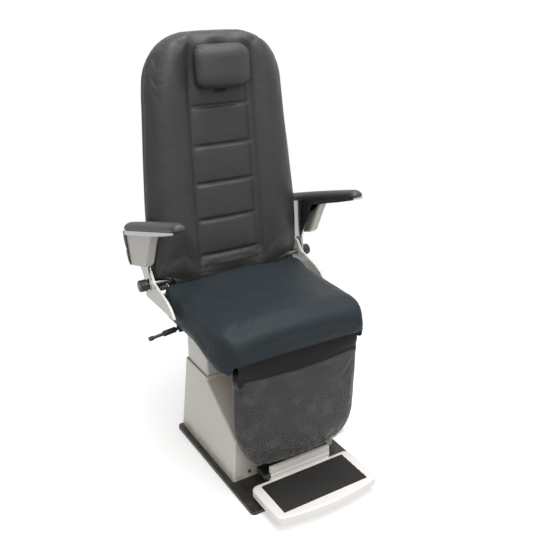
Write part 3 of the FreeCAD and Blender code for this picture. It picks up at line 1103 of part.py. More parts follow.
def foot_pieces():
    """The footrest tray, hinged below the leg rest, and its ribbed mat."""
    half = "foot_w / 2"
    tray = block(("-" + half, half), ("foot_front_y", "foot_rear_y"), ("foot_low_z", "foot_low_z + foot_h"))
    bow = rod("Z", "foot_bow_r", "foot_low_z - over", "foot_low_z + foot_h + over",
              ("0", "foot_front_y + foot_bow_r"))
    tray = eased(common(tray, bow), "foot_round", along(Vector(0, 0, 1)))
    tray = eased(tray, "foot_edge", lambda edge: edge.BoundBox.ZMin > size("foot_low_z + foot_h / 2"))
    rear_edge = "foot_front_y + tread_front_gap + tread_d"
    sunk = block(("-tread_w / 2 - block_gap", "tread_w / 2 + block_gap"),
                 ("foot_front_y + tread_front_gap - block_gap", "%s + block_gap" % rear_edge),
                 ("foot_low_z + foot_h - tread_sink", "foot_low_z + foot_h + over"))
    hollow = block(("-%s + foot_wall" % half, "%s - foot_wall" % half),
                   ("foot_front_y + tread_front_gap", "foot_rear_y - foot_wall"),
                   ("foot_low_z - over", "foot_low_z + foot_h - tread_sink - foot_wall"))
    upstand = block(("-foot_up_half", "foot_up_half"),
                    ("foot_axis_y - foot_up_t / 2 - over / 2", "foot_axis_y + foot_up_t / 2"),
                    ("foot_low_z", "foot_low_z + foot_h + foot_up_h"))
    barrel = rod("X", "foot_pin_r + foot_up_t / 2", "-foot_up_half", "foot_up_half",
                 ("foot_axis_y", "foot_axis_z"))
    bore = rod("X", "foot_pin_r + fit_gap", "-foot_up_half - over", "foot_up_half + over",
               ("foot_axis_y", "foot_axis_z"))
    part(cut(fuse(cut(tray, sunk, hollow), upstand, barrel), bore), "footrest")

    low = "foot_low_z + foot_h - tread_sink"
    mat = block(("-tread_w / 2", "tread_w / 2"), ("foot_front_y + tread_front_gap", rear_edge),
                (low, "%s + tread_t" % low))
    mat = eased(mat, "tread_round", along(Vector(0, 0, 1)))
    ribs = []
    count = int(size("tread_ribs"))
    for number in range(count):
        y = "foot_front_y + tread_front_gap + tread_d * (%d + 0.5) / tread_ribs" % number
        ribs.append(block(("-tread_w / 2 + tread_round", "tread_w / 2 - tread_round"),
                          ("%s - tread_rib / 2" % y, "%s + tread_rib / 2" % y),
                          ("%s + tread_t - tread_rib_h" % low, "%s + tread_t + tread_rib_h" % low)))
    part(fuse(mat, *ribs), "tread_mat")


def droop(thing):
    """Sets a piece of the lever, drawn out along -X from the origin, drooping from its pivot."""
    thing.Placement = Placement(Vector(), Rotation(Vector(0, -1, 0), 1))
    bind(thing, Placement__Rotation__Angle="lever_tilt")
    return put(thing, "-lever_x", "lever_y", "lever_z")


def lever_pieces():
    """The recline release lever under the seat's right side."""
    axis = ("0", "0")
    eye = block(("-lever_ear_w / 2", "lever_r"), ("-lever_r", "lever_r"), ("-lever_r", "lever_r"))
    shaft = rod("X", "lever_r", "-lever_len", "0", axis)
    hole = rod("Y", "lever_pin_r + fit_gap", "-lever_ear_w", "lever_ear_w", axis)
    part(droop(cut(fuse(eye, shaft), hole)), "recline_lever")
    grip = eased(rod("X", "grip_r", "-grip_to", "-grip_from", axis), "side_round", lambda edge: edge.Closed)
    grip_hole = rod("X", "lever_r", "-grip_to - over", "-grip_from + over", axis)
    part(droop(cut(grip, grip_hole)), "lever_grip")
    tip = eased(rod("X", "tip_r", "-lever_len - lever_ear_t", "-lever_len + tip_len", axis), "side_round",
                lambda edge: edge.Closed)
    part(droop(cut(tip, rod("X", "lever_r", "-lever_len", "-lever_len + tip_len + over", axis))), "lever_tip")


def main():
    screws = base_pieces()
    cover_fixings(screws)
    lift_pieces()
    seat_pieces()
    arm_pieces()
    back_pieces()
    head_pieces()
    leg_pieces()
    foot_pieces()
    lever_pieces()
    doc.recompute()
    for thing in doc.Objects:
        if "Invalid" in thing.State or "Error" in thing.State:
            raise RuntimeError("%s (%s): %s" % (thing.Name, thing.Label, thing.State))
    os.makedirs("parts", exist_ok=True)
    for thing in parts:
        shape = thing.Shape
        if shape.isNull() or not shape.isValid() or shape.Volume <= 0:
            raise RuntimeError("%s has no sound shape" % thing.Label)
    for thing in parts:
        thing.Shape.exportStep("parts/%s.step" % thing.Label)
    print("%d pieces written" % len(parts))


main()
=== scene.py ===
"""Looks of the patient examination chair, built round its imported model, in metres.

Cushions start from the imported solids: they are remeshed, puffed by a short cloth run and then sewn, which
presses in their seams, channels and gathers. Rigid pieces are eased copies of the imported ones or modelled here.
Left and right in the names are the patient's: left is +X.
"""

import json
import math

import bmesh
import bpy
from mathutils import Matrix, Vector, noise
from mathutils.bvhtree import BVHTree

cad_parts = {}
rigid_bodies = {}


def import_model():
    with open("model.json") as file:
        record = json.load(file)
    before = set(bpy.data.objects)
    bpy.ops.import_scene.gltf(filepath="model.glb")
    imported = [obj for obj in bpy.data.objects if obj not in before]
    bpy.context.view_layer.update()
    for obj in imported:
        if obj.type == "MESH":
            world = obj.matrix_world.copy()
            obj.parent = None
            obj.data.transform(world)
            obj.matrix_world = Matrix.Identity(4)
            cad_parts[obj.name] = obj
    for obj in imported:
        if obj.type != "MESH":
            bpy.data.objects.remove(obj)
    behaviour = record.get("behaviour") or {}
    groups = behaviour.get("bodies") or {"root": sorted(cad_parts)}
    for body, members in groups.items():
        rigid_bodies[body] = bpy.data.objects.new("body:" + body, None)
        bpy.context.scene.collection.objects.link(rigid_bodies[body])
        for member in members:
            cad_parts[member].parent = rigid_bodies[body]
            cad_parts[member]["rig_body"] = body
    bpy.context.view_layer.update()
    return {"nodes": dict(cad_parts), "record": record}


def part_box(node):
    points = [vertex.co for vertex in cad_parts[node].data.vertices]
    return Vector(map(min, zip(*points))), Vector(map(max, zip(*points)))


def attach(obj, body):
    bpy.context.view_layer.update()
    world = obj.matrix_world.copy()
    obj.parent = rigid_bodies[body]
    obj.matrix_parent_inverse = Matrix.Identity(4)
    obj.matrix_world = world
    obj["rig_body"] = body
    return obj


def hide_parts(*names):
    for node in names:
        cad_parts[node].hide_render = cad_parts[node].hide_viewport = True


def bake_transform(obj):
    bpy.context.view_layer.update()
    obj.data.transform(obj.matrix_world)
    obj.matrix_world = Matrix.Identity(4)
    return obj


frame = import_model()
nodes = frame["nodes"]
scene = bpy.context.scene

MM = 0.001
AXLE = Vector((0, 0.238, 0.560))
BACK_LEAN = math.radians(6)
ARM_LEAN = math.radians(16)
SMOOTH_ANGLE = math.radians(32)
MERGE_GAP = 0.004 * MM
FLAT_ANGLE = math.radians(0.6)
PUFF_FRAMES = 14
WHITE, BLACK = (1.0, 1.0, 1.0, 1.0), (0.0, 0.0, 0.0, 1.0)


def leaned(point, angle):
    """A point in the frame of a piece that leans back about the axle: across, rearward and up the piece."""
    y, z = point.y - AXLE.y, point.z - AXLE.z
    cos, sin = math.cos(angle), math.sin(angle)
    return Vector((point.x, y * cos - z * sin, y * sin + z * cos))


def unleaned(point, angle):
    """The way back from leaned."""
    cos, sin = math.cos(angle), math.sin(angle)
    return Vector((point.x, AXLE.y + point.y * cos + point.z * sin, AXLE.z - point.y * sin + point.z * cos))


def bell(distance, width):
    """1 at zero distance, falling off softly over a width."""
    return math.exp(-((distance / width) ** 2))


def ramp(value, low, high):
    """0 below low, 1 above high, and smooth between them."""
    share = min(1, max(0, (value - low) / (high - low)))
    return share * share * (3 - 2 * share)


# node groups that several finishes share


def add(tree, kind, settings=None, **inputs):
    """A shader node with its settings; each input takes a value or another node's socket."""
    made = tree.nodes.new("ShaderNode" + kind)
    for name, value in (settings or {}).items():
        setattr(made, name, value)
    for name, value in inputs.items():
        socket = made.inputs[int(name[1:])] if name[0] == "_" else made.inputs[name.replace("_", " ")]
        if isinstance(value, bpy.types.NodeSocket):
            tree.links.new(value, socket)
        else:
            socket.default_value = value
    return made


def maths(tree, operation, first, second=0.5):
    """The result of one operation on two values."""
    return add(tree, "Math", {"operation": operation}, _0=first, _1=second).outputs[0]


def spread(tree, value, low, high, to_low=0.0, to_high=1.0):
    """A value's range stretched to another one."""
    made = add(
        tree, "MapRange", None, Value=value, From_Min=low, From_Max=high, To_Min=to_low, To_Max=to_high
    )
    return made.outputs[0]


def mixed(tree, factor, first, second, blend_type="MIX"):
    """Two colours mixed by a mask."""
    made = add(tree, "Mix", {"data_type": "RGBA", "blend_type": blend_type}, _0=factor, _6=first, _7=second)
    return made.outputs[2]


def new_group(name, inputs, outputs):
    """An empty shader group with named sockets; returns its tree, its inputs and its outputs."""
    tree = bpy.data.node_groups.new(name, "ShaderNodeTree")
    for label, kind, value in inputs:
        socket = tree.interface.new_socket(label, in_out="INPUT", socket_type="NodeSocket" + kind)
        if value is not None:
            socket.default_value = value
    for label, kind in outputs:
        tree.interface.new_socket(label, in_out="OUTPUT", socket_type="NodeSocket" + kind)
    return tree, tree.nodes.new("NodeGroupInput").outputs, tree.nodes.new("NodeGroupOutput").inputs


def hide_grain_group():
    """The pebbled grain of upholstery vinyl: small cells with creases between them."""
    tree, given, out = new_group(
        "Hide grain",
        [("Vector", "Vector", None), ("Pebbles", "Float", 700.0)],
        [("Height", "Float"), ("Tone", "Float")],
    )
    warp = add(tree, "TexNoise", None, Vector=given["Vector"], Scale=160.0, Detail=2.0)
    bent = mixed(tree, 0.012, given["Vector"], warp.outputs["Color"], "ADD")
    cells = add(tree, "TexVoronoi", {"feature": "DISTANCE_TO_EDGE"}, Vector=bent, Scale=given["Pebbles"])
    pebble = spread(tree, cells.outputs["Distance"], 0.0, 0.25)
    fine = add(tree, "TexNoise", None, Vector=given["Vector"], Scale=2200.0, Detail=3.0)
    grown = add(tree, "Math", {"operation": "MULTIPLY_ADD"}, _0=pebble, _1=0.75, _2=fine.outputs["Fac"])
    tree.links.new(grown.outputs[0], out["Height"])
    patch = add(tree, "TexNoise", None, Vector=given["Vector"], Scale=26.0, Detail=4.0)
    tree.links.new(spread(tree, patch.outputs["Fac"], 0.3, 0.7), out["Tone"])
    return tree


def sag_group():
    """Slow swells and shallow pulls, as in vinyl over foam."""
    tree, given, out = new_group(
        "Sag", [("Vector", "Vector", None), ("Size", "Float", 9.0)], [("Height", "Float")]
    )
    swell = add(tree, "TexNoise", None, Vector=given["Vector"], Scale=given["Size"], Detail=1.0)
    stretch = add(tree, "VectorMath", {"operation": "MULTIPLY"}, _0=given["Vector"], _1=(5.0, 5.0, 19.0))
    pull = add(tree, "TexNoise", None, Vector=stretch.outputs[0], Scale=1.6, Detail=2.0, Distortion=0.5)
    low = maths(tree, "MULTIPLY", pull.outputs["Fac"], 0.45)
    tree.links.new(maths(tree, "ADD", swell.outputs["Fac"], low), out["Height"])
    return tree


def mottle_group():
    """A colour that is a little darker and lighter from place to place."""
    tree, given, out = new_group(
        "Mottle",
        [
            ("Vector", "Vector", None),
            ("Colour", "Color", None),
            ("Size", "Float", 8.0),
            ("Amount", "Float", 0.1),
        ],
        [("Colour", "Color")],
    )
    patch = add(
        tree, "TexNoise", None, Vector=given["Vector"], Scale=given["Size"], Detail=5.0, Roughness=0.6
    )
    lift = maths(tree, "MULTIPLY", maths(tree, "SUBTRACT", patch.outputs["Fac"], 0.5), given["Amount"])
    level = maths(tree, "ADD", lift, 1.0)
    tone = add(tree, "CombineColor", None, Red=level, Green=level, Blue=level)
    tree.links.new(mixed(tree, 1.0, given["Colour"], tone.outputs[0], "MULTIPLY"), out["Colour"])
    return tree


def scuffs_group():
    """Fine rubbed streaks, denser in some patches, for painted and moulded faces."""
    tree, given, out = new_group(
        "Scuffs",
        [("Vector", "Vector", None), ("Amount", "Float", 0.5)],
        [("Mask", "Float"), ("Height", "Float")],
    )
    turn = add(tree, "Mapping", None, Vector=given["Vector"])
    turn.inputs["Rotation"].default_value = (0.5, 0.3, 0.8)
    turn.inputs["Scale"].default_value = (26.0, 3.0, 7.0)
    streaks = add(tree, "TexNoise", None, Vector=turn.outputs[0], Scale=18.0, Detail=6.0, Roughness=0.7)
    where = add(tree, "TexNoise", None, Vector=given["Vector"], Scale=5.0, Detail=2.0)
    thin = spread(tree, streaks.outputs["Fac"], 0.62, 0.75)
    rubbed = maths(tree, "MULTIPLY", thin, spread(tree, where.outputs["Fac"], 0.45, 0.75))
    tree.links.new(maths(tree, "MULTIPLY", rubbed, given["Amount"]), out["Mask"])
    skin = add(tree, "TexNoise", None, Vector=given["Vector"], Scale=420.0, Detail=2.0)
    tree.links.new(skin.outputs["Fac"], out["Height"])
    return tree


def dust_group():
    """Settled dust and shoe marks that fade with height above the floor."""
    tree, given, out = new_group(
        "Floor dust",
        [
            ("Vector", "Vector", None),
            ("Colour", "Color", None),
            ("Dust", "Color", None),
            ("Reach", "Float", 0.1),
        ],
        [("Colour", "Color"), ("Mask", "Float")],
    )
    parts = add(tree, "SeparateXYZ", None, Vector=given["Vector"])
    high = add(tree, "Math", {"operation": "DIVIDE"}, _0=parts.outputs["Z"], _1=given["Reach"]).outputs[0]
    low = spread(tree, high, 1.0, 0.0)
    grit = add(tree, "TexNoise", None, Vector=given["Vector"], Scale=38.0, Detail=6.0, Roughness=0.65)
    mask = maths(tree, "MULTIPLY", low, spread(tree, grit.outputs["Fac"], 0.35, 0.75))
    tree.links.new(mixed(tree, mask, given["Colour"], given["Dust"]), out["Colour"])
    tree.links.new(mask, out["Mask"])
    return tree


def brushing_group():
    """Fine parallel lines left by brushing or grinding along one axis."""
    tree, given, out = new_group(
        "Brushing",
        [("Vector", "Vector", None), ("Along", "Vector", (4.0, 900.0, 900.0))],
        [("Height", "Float"), ("Tone", "Float")],
    )
    drawn = add(tree, "VectorMath", {"operation": "MULTIPLY"}, _0=given["Vector"], _1=given["Along"])
    lines = add(tree, "TexNoise", None, Vector=drawn.outputs[0], Scale=1.0, Detail=4.0, Roughness=0.6)
    tree.links.new(lines.outputs["Fac"], out["Height"])
    patch = add(tree, "TexNoise", None, Vector=given["Vector"], Scale=30.0, Detail=2.0)
    worn = spread(tree, patch.outputs["Fac"], 0.3, 0.7, 0.7, 1.0)
    both = maths(tree, "MULTIPLY", lines.outputs["Fac"], worn)
    tree.links.new(both, out["Tone"])
    return tree


HIDE_GRAIN = hide_grain_group()
SAG = sag_group()
MOTTLE = mottle_group()
SCUFFS = scuffs_group()
DUST = dust_group()
BRUSHING = brushing_group()


def linear(red, green, blue):
    """A colour given as it looks on screen, 0 to 255, as the shader takes it."""

    def decoded(value):
        return value / 255 / 12.92 if value <= 10 else ((value / 255 + 0.055) / 1.055) ** 2.4

    return tuple(decoded(value) for value in (red, green, blue)) + (1.0,)


def darker(colour, share=0.62):
    """A screen colour as the shader takes it, at a share of its light."""
    return tuple(part * share for part in linear(*colour)[:3]) + (1.0,)


def use(tree, group, **inputs):
    """The outputs of a shared group placed in a material."""
    made = add(tree, "Group", {"node_tree": group}, **inputs)
    return made.outputs


def new_look(name, roughness, metallic=0.0, specular=0.5, coat=0.0):
    """A material with its Principled shader; returns it with its tree, shader and Object coordinates."""
    made = bpy.data.materials.new(name)
    made.use_nodes = True
    tree = made.node_tree
    shader = next(n for n in tree.nodes if n.type == "BSDF_PRINCIPLED")
    shader.inputs["Roughness"].default_value = roughness
    shader.inputs["Metallic"].default_value = metallic
    shader.inputs["Specular IOR Level"].default_value = specular
    shader.inputs["Coat Weight"].default_value = coat
    place = tree.nodes.new("ShaderNodeTexCoord").outputs["Object"]
    return made, tree, shader, place


def join(tree, socket, shader, name):
    """Feeds one of the shader's inputs."""
    tree.links.new(socket, shader.inputs[name])


def bumped(tree, height, strength, distance, below=None):
    """A bump of a height, over another bump if one is given."""
    made = add(tree, "Bump", None, Strength=strength, Distance=distance, Height=height)
    if below is not None:
        tree.links.new(below, made.inputs["Normal"])
    return made.outputs[0]


def vinyl(name, colour, roughness=0.42, pebbles=620.0, sag=0.5, specular=0.3, grain_and_crevice_shade=0.35):
    """Upholstery vinyl: pebbled, a little uneven in tone and gloss, with painted shade in the crevices between
    pebbles, over foam that swells and sags.
    """
    made, tree, shader, place = new_look(name, roughness, specular=specular)
    grain = use(tree, HIDE_GRAIN, Vector=place, Pebbles=pebbles)
    swells = use(tree, SAG, Vector=place, Size=9.0)
    base = use(tree, MOTTLE, Vector=place, Colour=linear(*colour), Size=7.0, Amount=0.4)["Colour"]
    # painted shade: the base colour is darkened towards the crevices between the pebbles, where the grain is low
    crevice_shade = spread(tree, grain["Height"], 0.35, 0.0, 0.0, 2.0 * grain_and_crevice_shade)
    join(tree, mixed(tree, crevice_shade, base, darker(colour)), shader, "Base Color")
    join(tree, spread(tree, grain["Tone"], 0.0, 1.0, roughness - 0.06, roughness + 0.08), shader, "Roughness")
    soft = bumped(tree, swells["Height"], sag, 5.0 * MM)
    join(tree, bumped(tree, grain["Height"], grain_and_crevice_shade, 0.25 * MM, soft), shader, "Normal")
    return made


def enamel(name, colour, roughness=0.3, dust_reach=None, coat=0.25, scuff=0.35, dust=(120, 112, 98)):
    """Baked paint on metal or a moulded face: slight skin, rubbed streaks, and dust near the floor."""
    made, tree, shader, place = new_look(name, roughness, coat=coat)
    shader.inputs["Coat Roughness"].default_value = 0.18
    base = use(tree, MOTTLE, Vector=place, Colour=linear(*colour), Size=5.0, Amount=0.09)["Colour"]
    rubbed = use(tree, SCUFFS, Vector=place, Amount=scuff)
    base = mixed(tree, rubbed["Mask"], base, darker(colour))
    if dust_reach:
        base = use(tree, DUST, Vector=place, Colour=base, Dust=linear(*dust), Reach=dust_reach)["Colour"]
    join(tree, base, shader, "Base Color")
    join(tree, spread(tree, rubbed["Mask"], 0.0, 1.0, roughness, roughness + 0.35), shader, "Roughness")
    join(tree, bumped(tree, rubbed["Height"], 0.12, 0.3 * MM), shader, "Normal")
    return made


def metal(name, colour, roughness, along=(4.0, 900.0, 900.0), strength=0.12):
    """Plated, ground or polished metal with fine drawn lines."""
    made, tree, shader, place = new_look(name, roughness, metallic=1.0)
    lines = use(tree, BRUSHING, Vector=place, Along=along)
    base = use(tree, MOTTLE, Vector=place, Colour=linear(*colour), Size=14.0, Amount=0.12)["Colour"]
    join(tree, base, shader, "Base Color")
    join(tree, spread(tree, lines["Tone"], 0.2, 0.7, roughness * 0.75, roughness * 1.3), shader, "Roughness")
    join(tree, bumped(tree, lines["Height"], strength, 0.1 * MM), shader, "Normal")
    return made


def moulded(name, colour, roughness=0.5, texture=900.0, depth=0.3, specular=0.5):
    """Moulded plastic or rubber with a fine spark-eroded texture and a few rubbed streaks."""
    made, tree, shader, place = new_look(name, roughness, specular=specular)
    base = use(tree, MOTTLE, Vector=place, Colour=linear(*colour), Size=11.0, Amount=0.16)["Colour"]
    rubbed = use(tree, SCUFFS, Vector=place, Amount=0.25)
    pale = tuple(min(1, c * 1.5 + 0.01) for c in linear(*colour)[:3]) + (1.0,)
    join(tree, mixed(tree, rubbed["Mask"], base, pale), shader, "Base Color")
    skin = add(tree, "TexNoise", None, Vector=place, Scale=texture, Detail=2.0)
    gloss = spread(tree, skin.outputs["Fac"], 0.3, 0.7, roughness - 0.05, roughness + 0.07)
    join(tree, gloss, shader, "Roughness")
    join(tree, bumped(tree, skin.outputs["Fac"], depth, 0.15 * MM), shader, "Normal")
    return made


def plywood(name):
    """Birch plywood: long grain along the face."""
    made, tree, shader, place = new_look(name, 0.6)
    turn = add(tree, "Mapping", None, Vector=place)
    turn.inputs["Scale"].default_value = (3.0, 60.0, 40.0)
    grain = add(
        tree, "TexNoise", None, Vector=turn.outputs[0], Scale=3.0, Detail=8.0, Roughness=0.65, Distortion=0.6
    )
    tone = spread(tree, grain.outputs["Fac"], 0.35, 0.65)
    join(tree, mixed(tree, tone, linear(176, 140, 96), linear(206, 174, 128)), shader, "Base Color")
    join(tree, bumped(tree, grain.outputs["Fac"], 0.15, 0.4 * MM), shader, "Normal")
    return made


def clear_film(name):
    """Thin clear protective film: nearly unseen face on, hazier seen edge on and where it is gathered."""
    made, tree, shader, place = new_look(name, 0.2, specular=0.45)
    shader.inputs["Base Color"].default_value = linear(168, 166, 163)
    swells = use(tree, SAG, Vector=place, Size=22.0)
    haze = spread(tree, swells["Height"], 0.72, 1.0, 0.0, 0.1)
    grazing = add(tree, "LayerWeight", None, Blend=0.35).outputs["Facing"]
    low = spread(tree, add(tree, "SeparateXYZ", None, Vector=place).outputs["Z"], 0.18, 0.09, 0.0, 0.16)
    veil = maths(tree, "ADD", haze, low)
    veil = maths(tree, "ADD", veil, maths(tree, "MULTIPLY", maths(tree, "POWER", grazing, 2.0), 0.3))
    join(tree, spread(tree, veil, 0.0, 1.0, 0.10, 0.8), shader, "Alpha")
    join(tree, bumped(tree, swells["Height"], 0.5, 3.0 * MM), shader, "Normal")
    return made


LOOKS = {
    "back_vinyl": vinyl("Back vinyl", (57, 57, 56)),
    "seat_vinyl": vinyl("Seat vinyl", (43, 49, 53), roughness=0.46, specular=0.12),
    "leg_vinyl": vinyl("Leg vinyl", (29, 28, 28), grain_and_crevice_shade=0.04, specular=0.15),
    "head_vinyl": vinyl("Head vinyl", (59, 59, 59), roughness=0.46),
    "base_black": enamel(
        "Base enamel", (26, 23, 21), roughness=0.42, dust_reach=0.03, coat=0.0, dust=(84, 78, 70)
    ),
    "cream_metal": enamel("Cream enamel", (215, 210, 200), dust_reach=0.06),
    "cream_side": enamel("Light grey enamel", (224, 221, 214)),
    "cream_plastic": enamel("Cream plastic", (206, 203, 192), roughness=0.34, coat=0.1),
    "foot_white": enamel("White casting enamel", (236, 231, 226), roughness=0.34, dust_reach=0.03, scuff=0.2),
    "frame_black": enamel("Black powder coat", (32, 32, 32), roughness=0.5, coat=0.0),
    "lever_black": enamel("Lever black", (26, 26, 26), roughness=0.4, coat=0.1),
    "motor": enamel("Motor enamel", (66, 68, 72), roughness=0.45, coat=0.0),
    "plated": metal("Zinc plate", (132, 132, 134), 0.36),
    "arm_chrome": metal("Polished chrome", (172, 173, 175), 0.16, strength=0.04),
    "column_steel": metal("Ground steel", (138, 140, 143), 0.34, along=(900.0, 900.0, 4.0)),
    "drive_rod": metal("Ground rod", (206, 206, 208), 0.16, along=(900.0, 900.0, 6.0)),
    "drive_cast": metal("Cast aluminium", (186, 188, 190), 0.46, along=(240.0, 240.0, 240.0), strength=0.4),
    "contact": metal("Contact brass", (214, 186, 118), 0.3),
    "glide": moulded("Natural nylon", (222, 220, 210), 0.45, depth=0.1),
    "control": moulded("Control box plastic", (62, 62, 64)),
    "socket_black": moulded("Socket plastic", (24, 24, 24), 0.45),
    "shell_black": moulded("Shell plastic", (44, 44, 45), 0.52, texture=520.0, depth=0.5),
    "pad_black": moulded("Soft pad skin", (58, 56, 54), 0.5, texture=700.0, depth=0.45),
    "trim_black": moulded("Trim plastic", (36, 35, 34), 0.42),
    "tread": moulded("Tread rubber", (14, 12, 10), 0.7, texture=420.0, depth=0.6),
    "board": plywood("Birch plywood"),
    "thread": moulded("Sewing thread", (50, 50, 49), 0.7, texture=3000.0),
    "film": clear_film("Clear film"),
}

slot_of = {row["node"]: row["material_slot"] for row in frame["record"]["subparts"]}
for name, packed in nodes.items():
    packed.data.materials.clear()
    packed.data.materials.append(LOOKS[slot_of[name]])


# making pieces


def new_piece(name, form, look, body, stands_for=(), smooth=True):
    """A finished mesh as a piece of the chair, with its finish and the body that it moves with."""
    mesh = bpy.data.meshes.new(name)
    form.to_mesh(mesh)
    form.free()
    piece = bpy.data.objects.new(name, mesh)
    scene.collection.objects.link(piece)
    mesh.materials.append(LOOKS[look])
    if smooth:
        mesh.shade_smooth()
        mesh.set_sharp_from_angle(angle=SMOOTH_ANGLE)
    if body:
        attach(piece, body)
    if stands_for:
        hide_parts(*stands_for)
    return piece


def merged_copy(node):
    """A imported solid's mesh as a bmesh, with its loose triangles joined up."""
    form = bmesh.new()
    form.from_mesh(nodes[node].data)
    bmesh.ops.remove_doubles(form, verts=form.verts, dist=MERGE_GAP)
    return form


def eased_copy(node, name, width=0.8, segments=2, angle=30):
    """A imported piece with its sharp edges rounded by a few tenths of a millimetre."""
    form = merged_copy(node)
    bmesh.ops.dissolve_limit(form, angle_limit=FLAT_ANGLE, verts=form.verts, edges=form.edges)
    piece = new_piece(name, form, slot_of[node], nodes[node]["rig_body"], stands_for=[node])
    ease = piece.modifiers.new("Eased edges", "BEVEL")
    ease.width = width * MM
    ease.segments = segments
    ease.limit_method = "ANGLE"
    ease.angle_limit = math.radians(angle)
    ease.use_clamp_overlap = True
    ease.harden_normals = True
    return piece


def evaluated_mesh(piece):
    """The piece's mesh with its modifiers applied, in place of its plain one."""
    view = bpy.context.evaluated_depsgraph_get()
    made = bpy.data.meshes.new_from_object(piece.evaluated_get(view))
    old = piece.data
    piece.modifiers.clear()
    piece.data = made
    bpy.data.meshes.remove(old)


def points_of(mesh):
    """A mesh's points and their normals as they are now."""
    return [vertex.co.copy() for vertex in mesh.vertices], [vertex.normal.copy() for vertex in mesh.vertices]


def set_points(mesh, points):
    mesh.vertices.foreach_set("co", [value for point in points for value in point])
    mesh.update()


def moved(piece, change):
    """Gives each point of a piece its place from change, which takes the point and its normal."""
    points, normals = points_of(piece.data)
    set_points(piece.data, [change(point, normal) for point, normal in zip(points, normals)])


def inflate(piece, fixed, cap, pressure):
    """Puffs a cushion by a short cloth run. The fixed points stay, and cap limits how far the others move."""
    mesh = piece.data
    start, _ = points_of(mesh)
    group = piece.vertex_groups.new(name="Held")
    group.add(fixed, 1.0, "REPLACE")
    cloth = piece.modifiers.new("Cloth", "CLOTH")
    settings = cloth.settings
    settings.quality = 4
    settings.mass = 0.3
    settings.tension_stiffness = 14
    settings.compression_stiffness = 14
    settings.shear_stiffness = 6
    settings.bending_stiffness = 0.6
    settings.use_pressure = True
    settings.uniform_pressure_force = pressure
    settings.effector_weights.gravity = 0
    settings.vertex_group_mass = "Held"
    cloth.collision_settings.use_collision = False
    cloth.point_cache.frame_start = 1
    cloth.point_cache.frame_end = PUFF_FRAMES
    for number in range(1, PUFF_FRAMES + 1):
        scene.frame_set(number)
    view = bpy.context.evaluated_depsgraph_get()
    puffed, _ = points_of(piece.evaluated_get(view).data)
    piece.modifiers.remove(cloth)
    scene.frame_set(1)
    capped = []
    for before, after in zip(start, puffed):
        step = after - before
        capped.append(before + step * min(1, cap / max(step.length, cap)))
    set_points(mesh, capped)
    piece.vertex_groups.clear()



def cushion(node, name, voxel, held, shrink=2.2, cap=4.5, pressure=4.0, sew=None, settle=4):
    """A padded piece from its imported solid: remeshed, drawn in, puffed, subdivided and sewn."""
    form = merged_copy(node)
    piece = new_piece(name, form, slot_of[node], nodes[node]["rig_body"], stands_for=[node], smooth=False)
    remesh = piece.modifiers.new("Even mesh", "REMESH")
    remesh.mode = "VOXEL"
    remesh.voxel_size = voxel * MM
    evaluated_mesh(piece)
    reshape(piece, lambda form: settled(form, settle))
    points, normals = points_of(piece.data)
    fixed = [number for number, (point, normal) in enumerate(zip(points, normals)) if held(point, normal)]
    stays = set(fixed)
    drawn = [p if i in stays else p - n * shrink * MM for i, (p, n) in enumerate(zip(points, normals))]
    set_points(piece.data, drawn)
    inflate(piece, fixed, cap * MM, pressure)
    level = piece.modifiers.new("Finer", "SUBSURF")
    level.levels = level.render_levels = 1
    evaluated_mesh(piece)
    if sew:
        moved(piece, sew)
    reshape(piece, lambda form: settled(form, 1, 0.4))
    piece.data.shade_smooth()
    piece.data.materials.clear()
    piece.data.materials.append(LOOKS[slot_of[node]])
    return piece


def reshape(piece, change):
    """Changes a piece's mesh as a bmesh."""
    form = bmesh.new()
    form.from_mesh(piece.data)
    change(form)
    form.to_mesh(piece.data)
    form.free()
    piece.data.update()


def settled(form, times, factor=0.5, verts=None):
    """Evens out a mesh, or some of its points, without drawing it in much."""
    chosen = form.verts if verts is None else verts
    for _ in range(times):
        bmesh.ops.smooth_vert(
            form, verts=chosen, factor=factor, use_axis_x=True, use_axis_y=True, use_axis_z=True
        )


# the backrest

SEAM_FOOT, SEAM_HEAD = 24 * MM, 668 * MM
CHANNEL_HEIGHTS = [60 * MM, 172 * MM, 285 * MM, 399 * MM, 516 * MM]
PANEL_EDGE, PANEL_FACE = -20 * MM, -33 * MM
SIDE_SEAM = 10 * MM


def seam_across(up):
    """How far from the middle the seam beside the sewn panel runs, at a height up the back."""
    return 106 * MM * (1 - 0.08 * max(0, up) / 0.73)


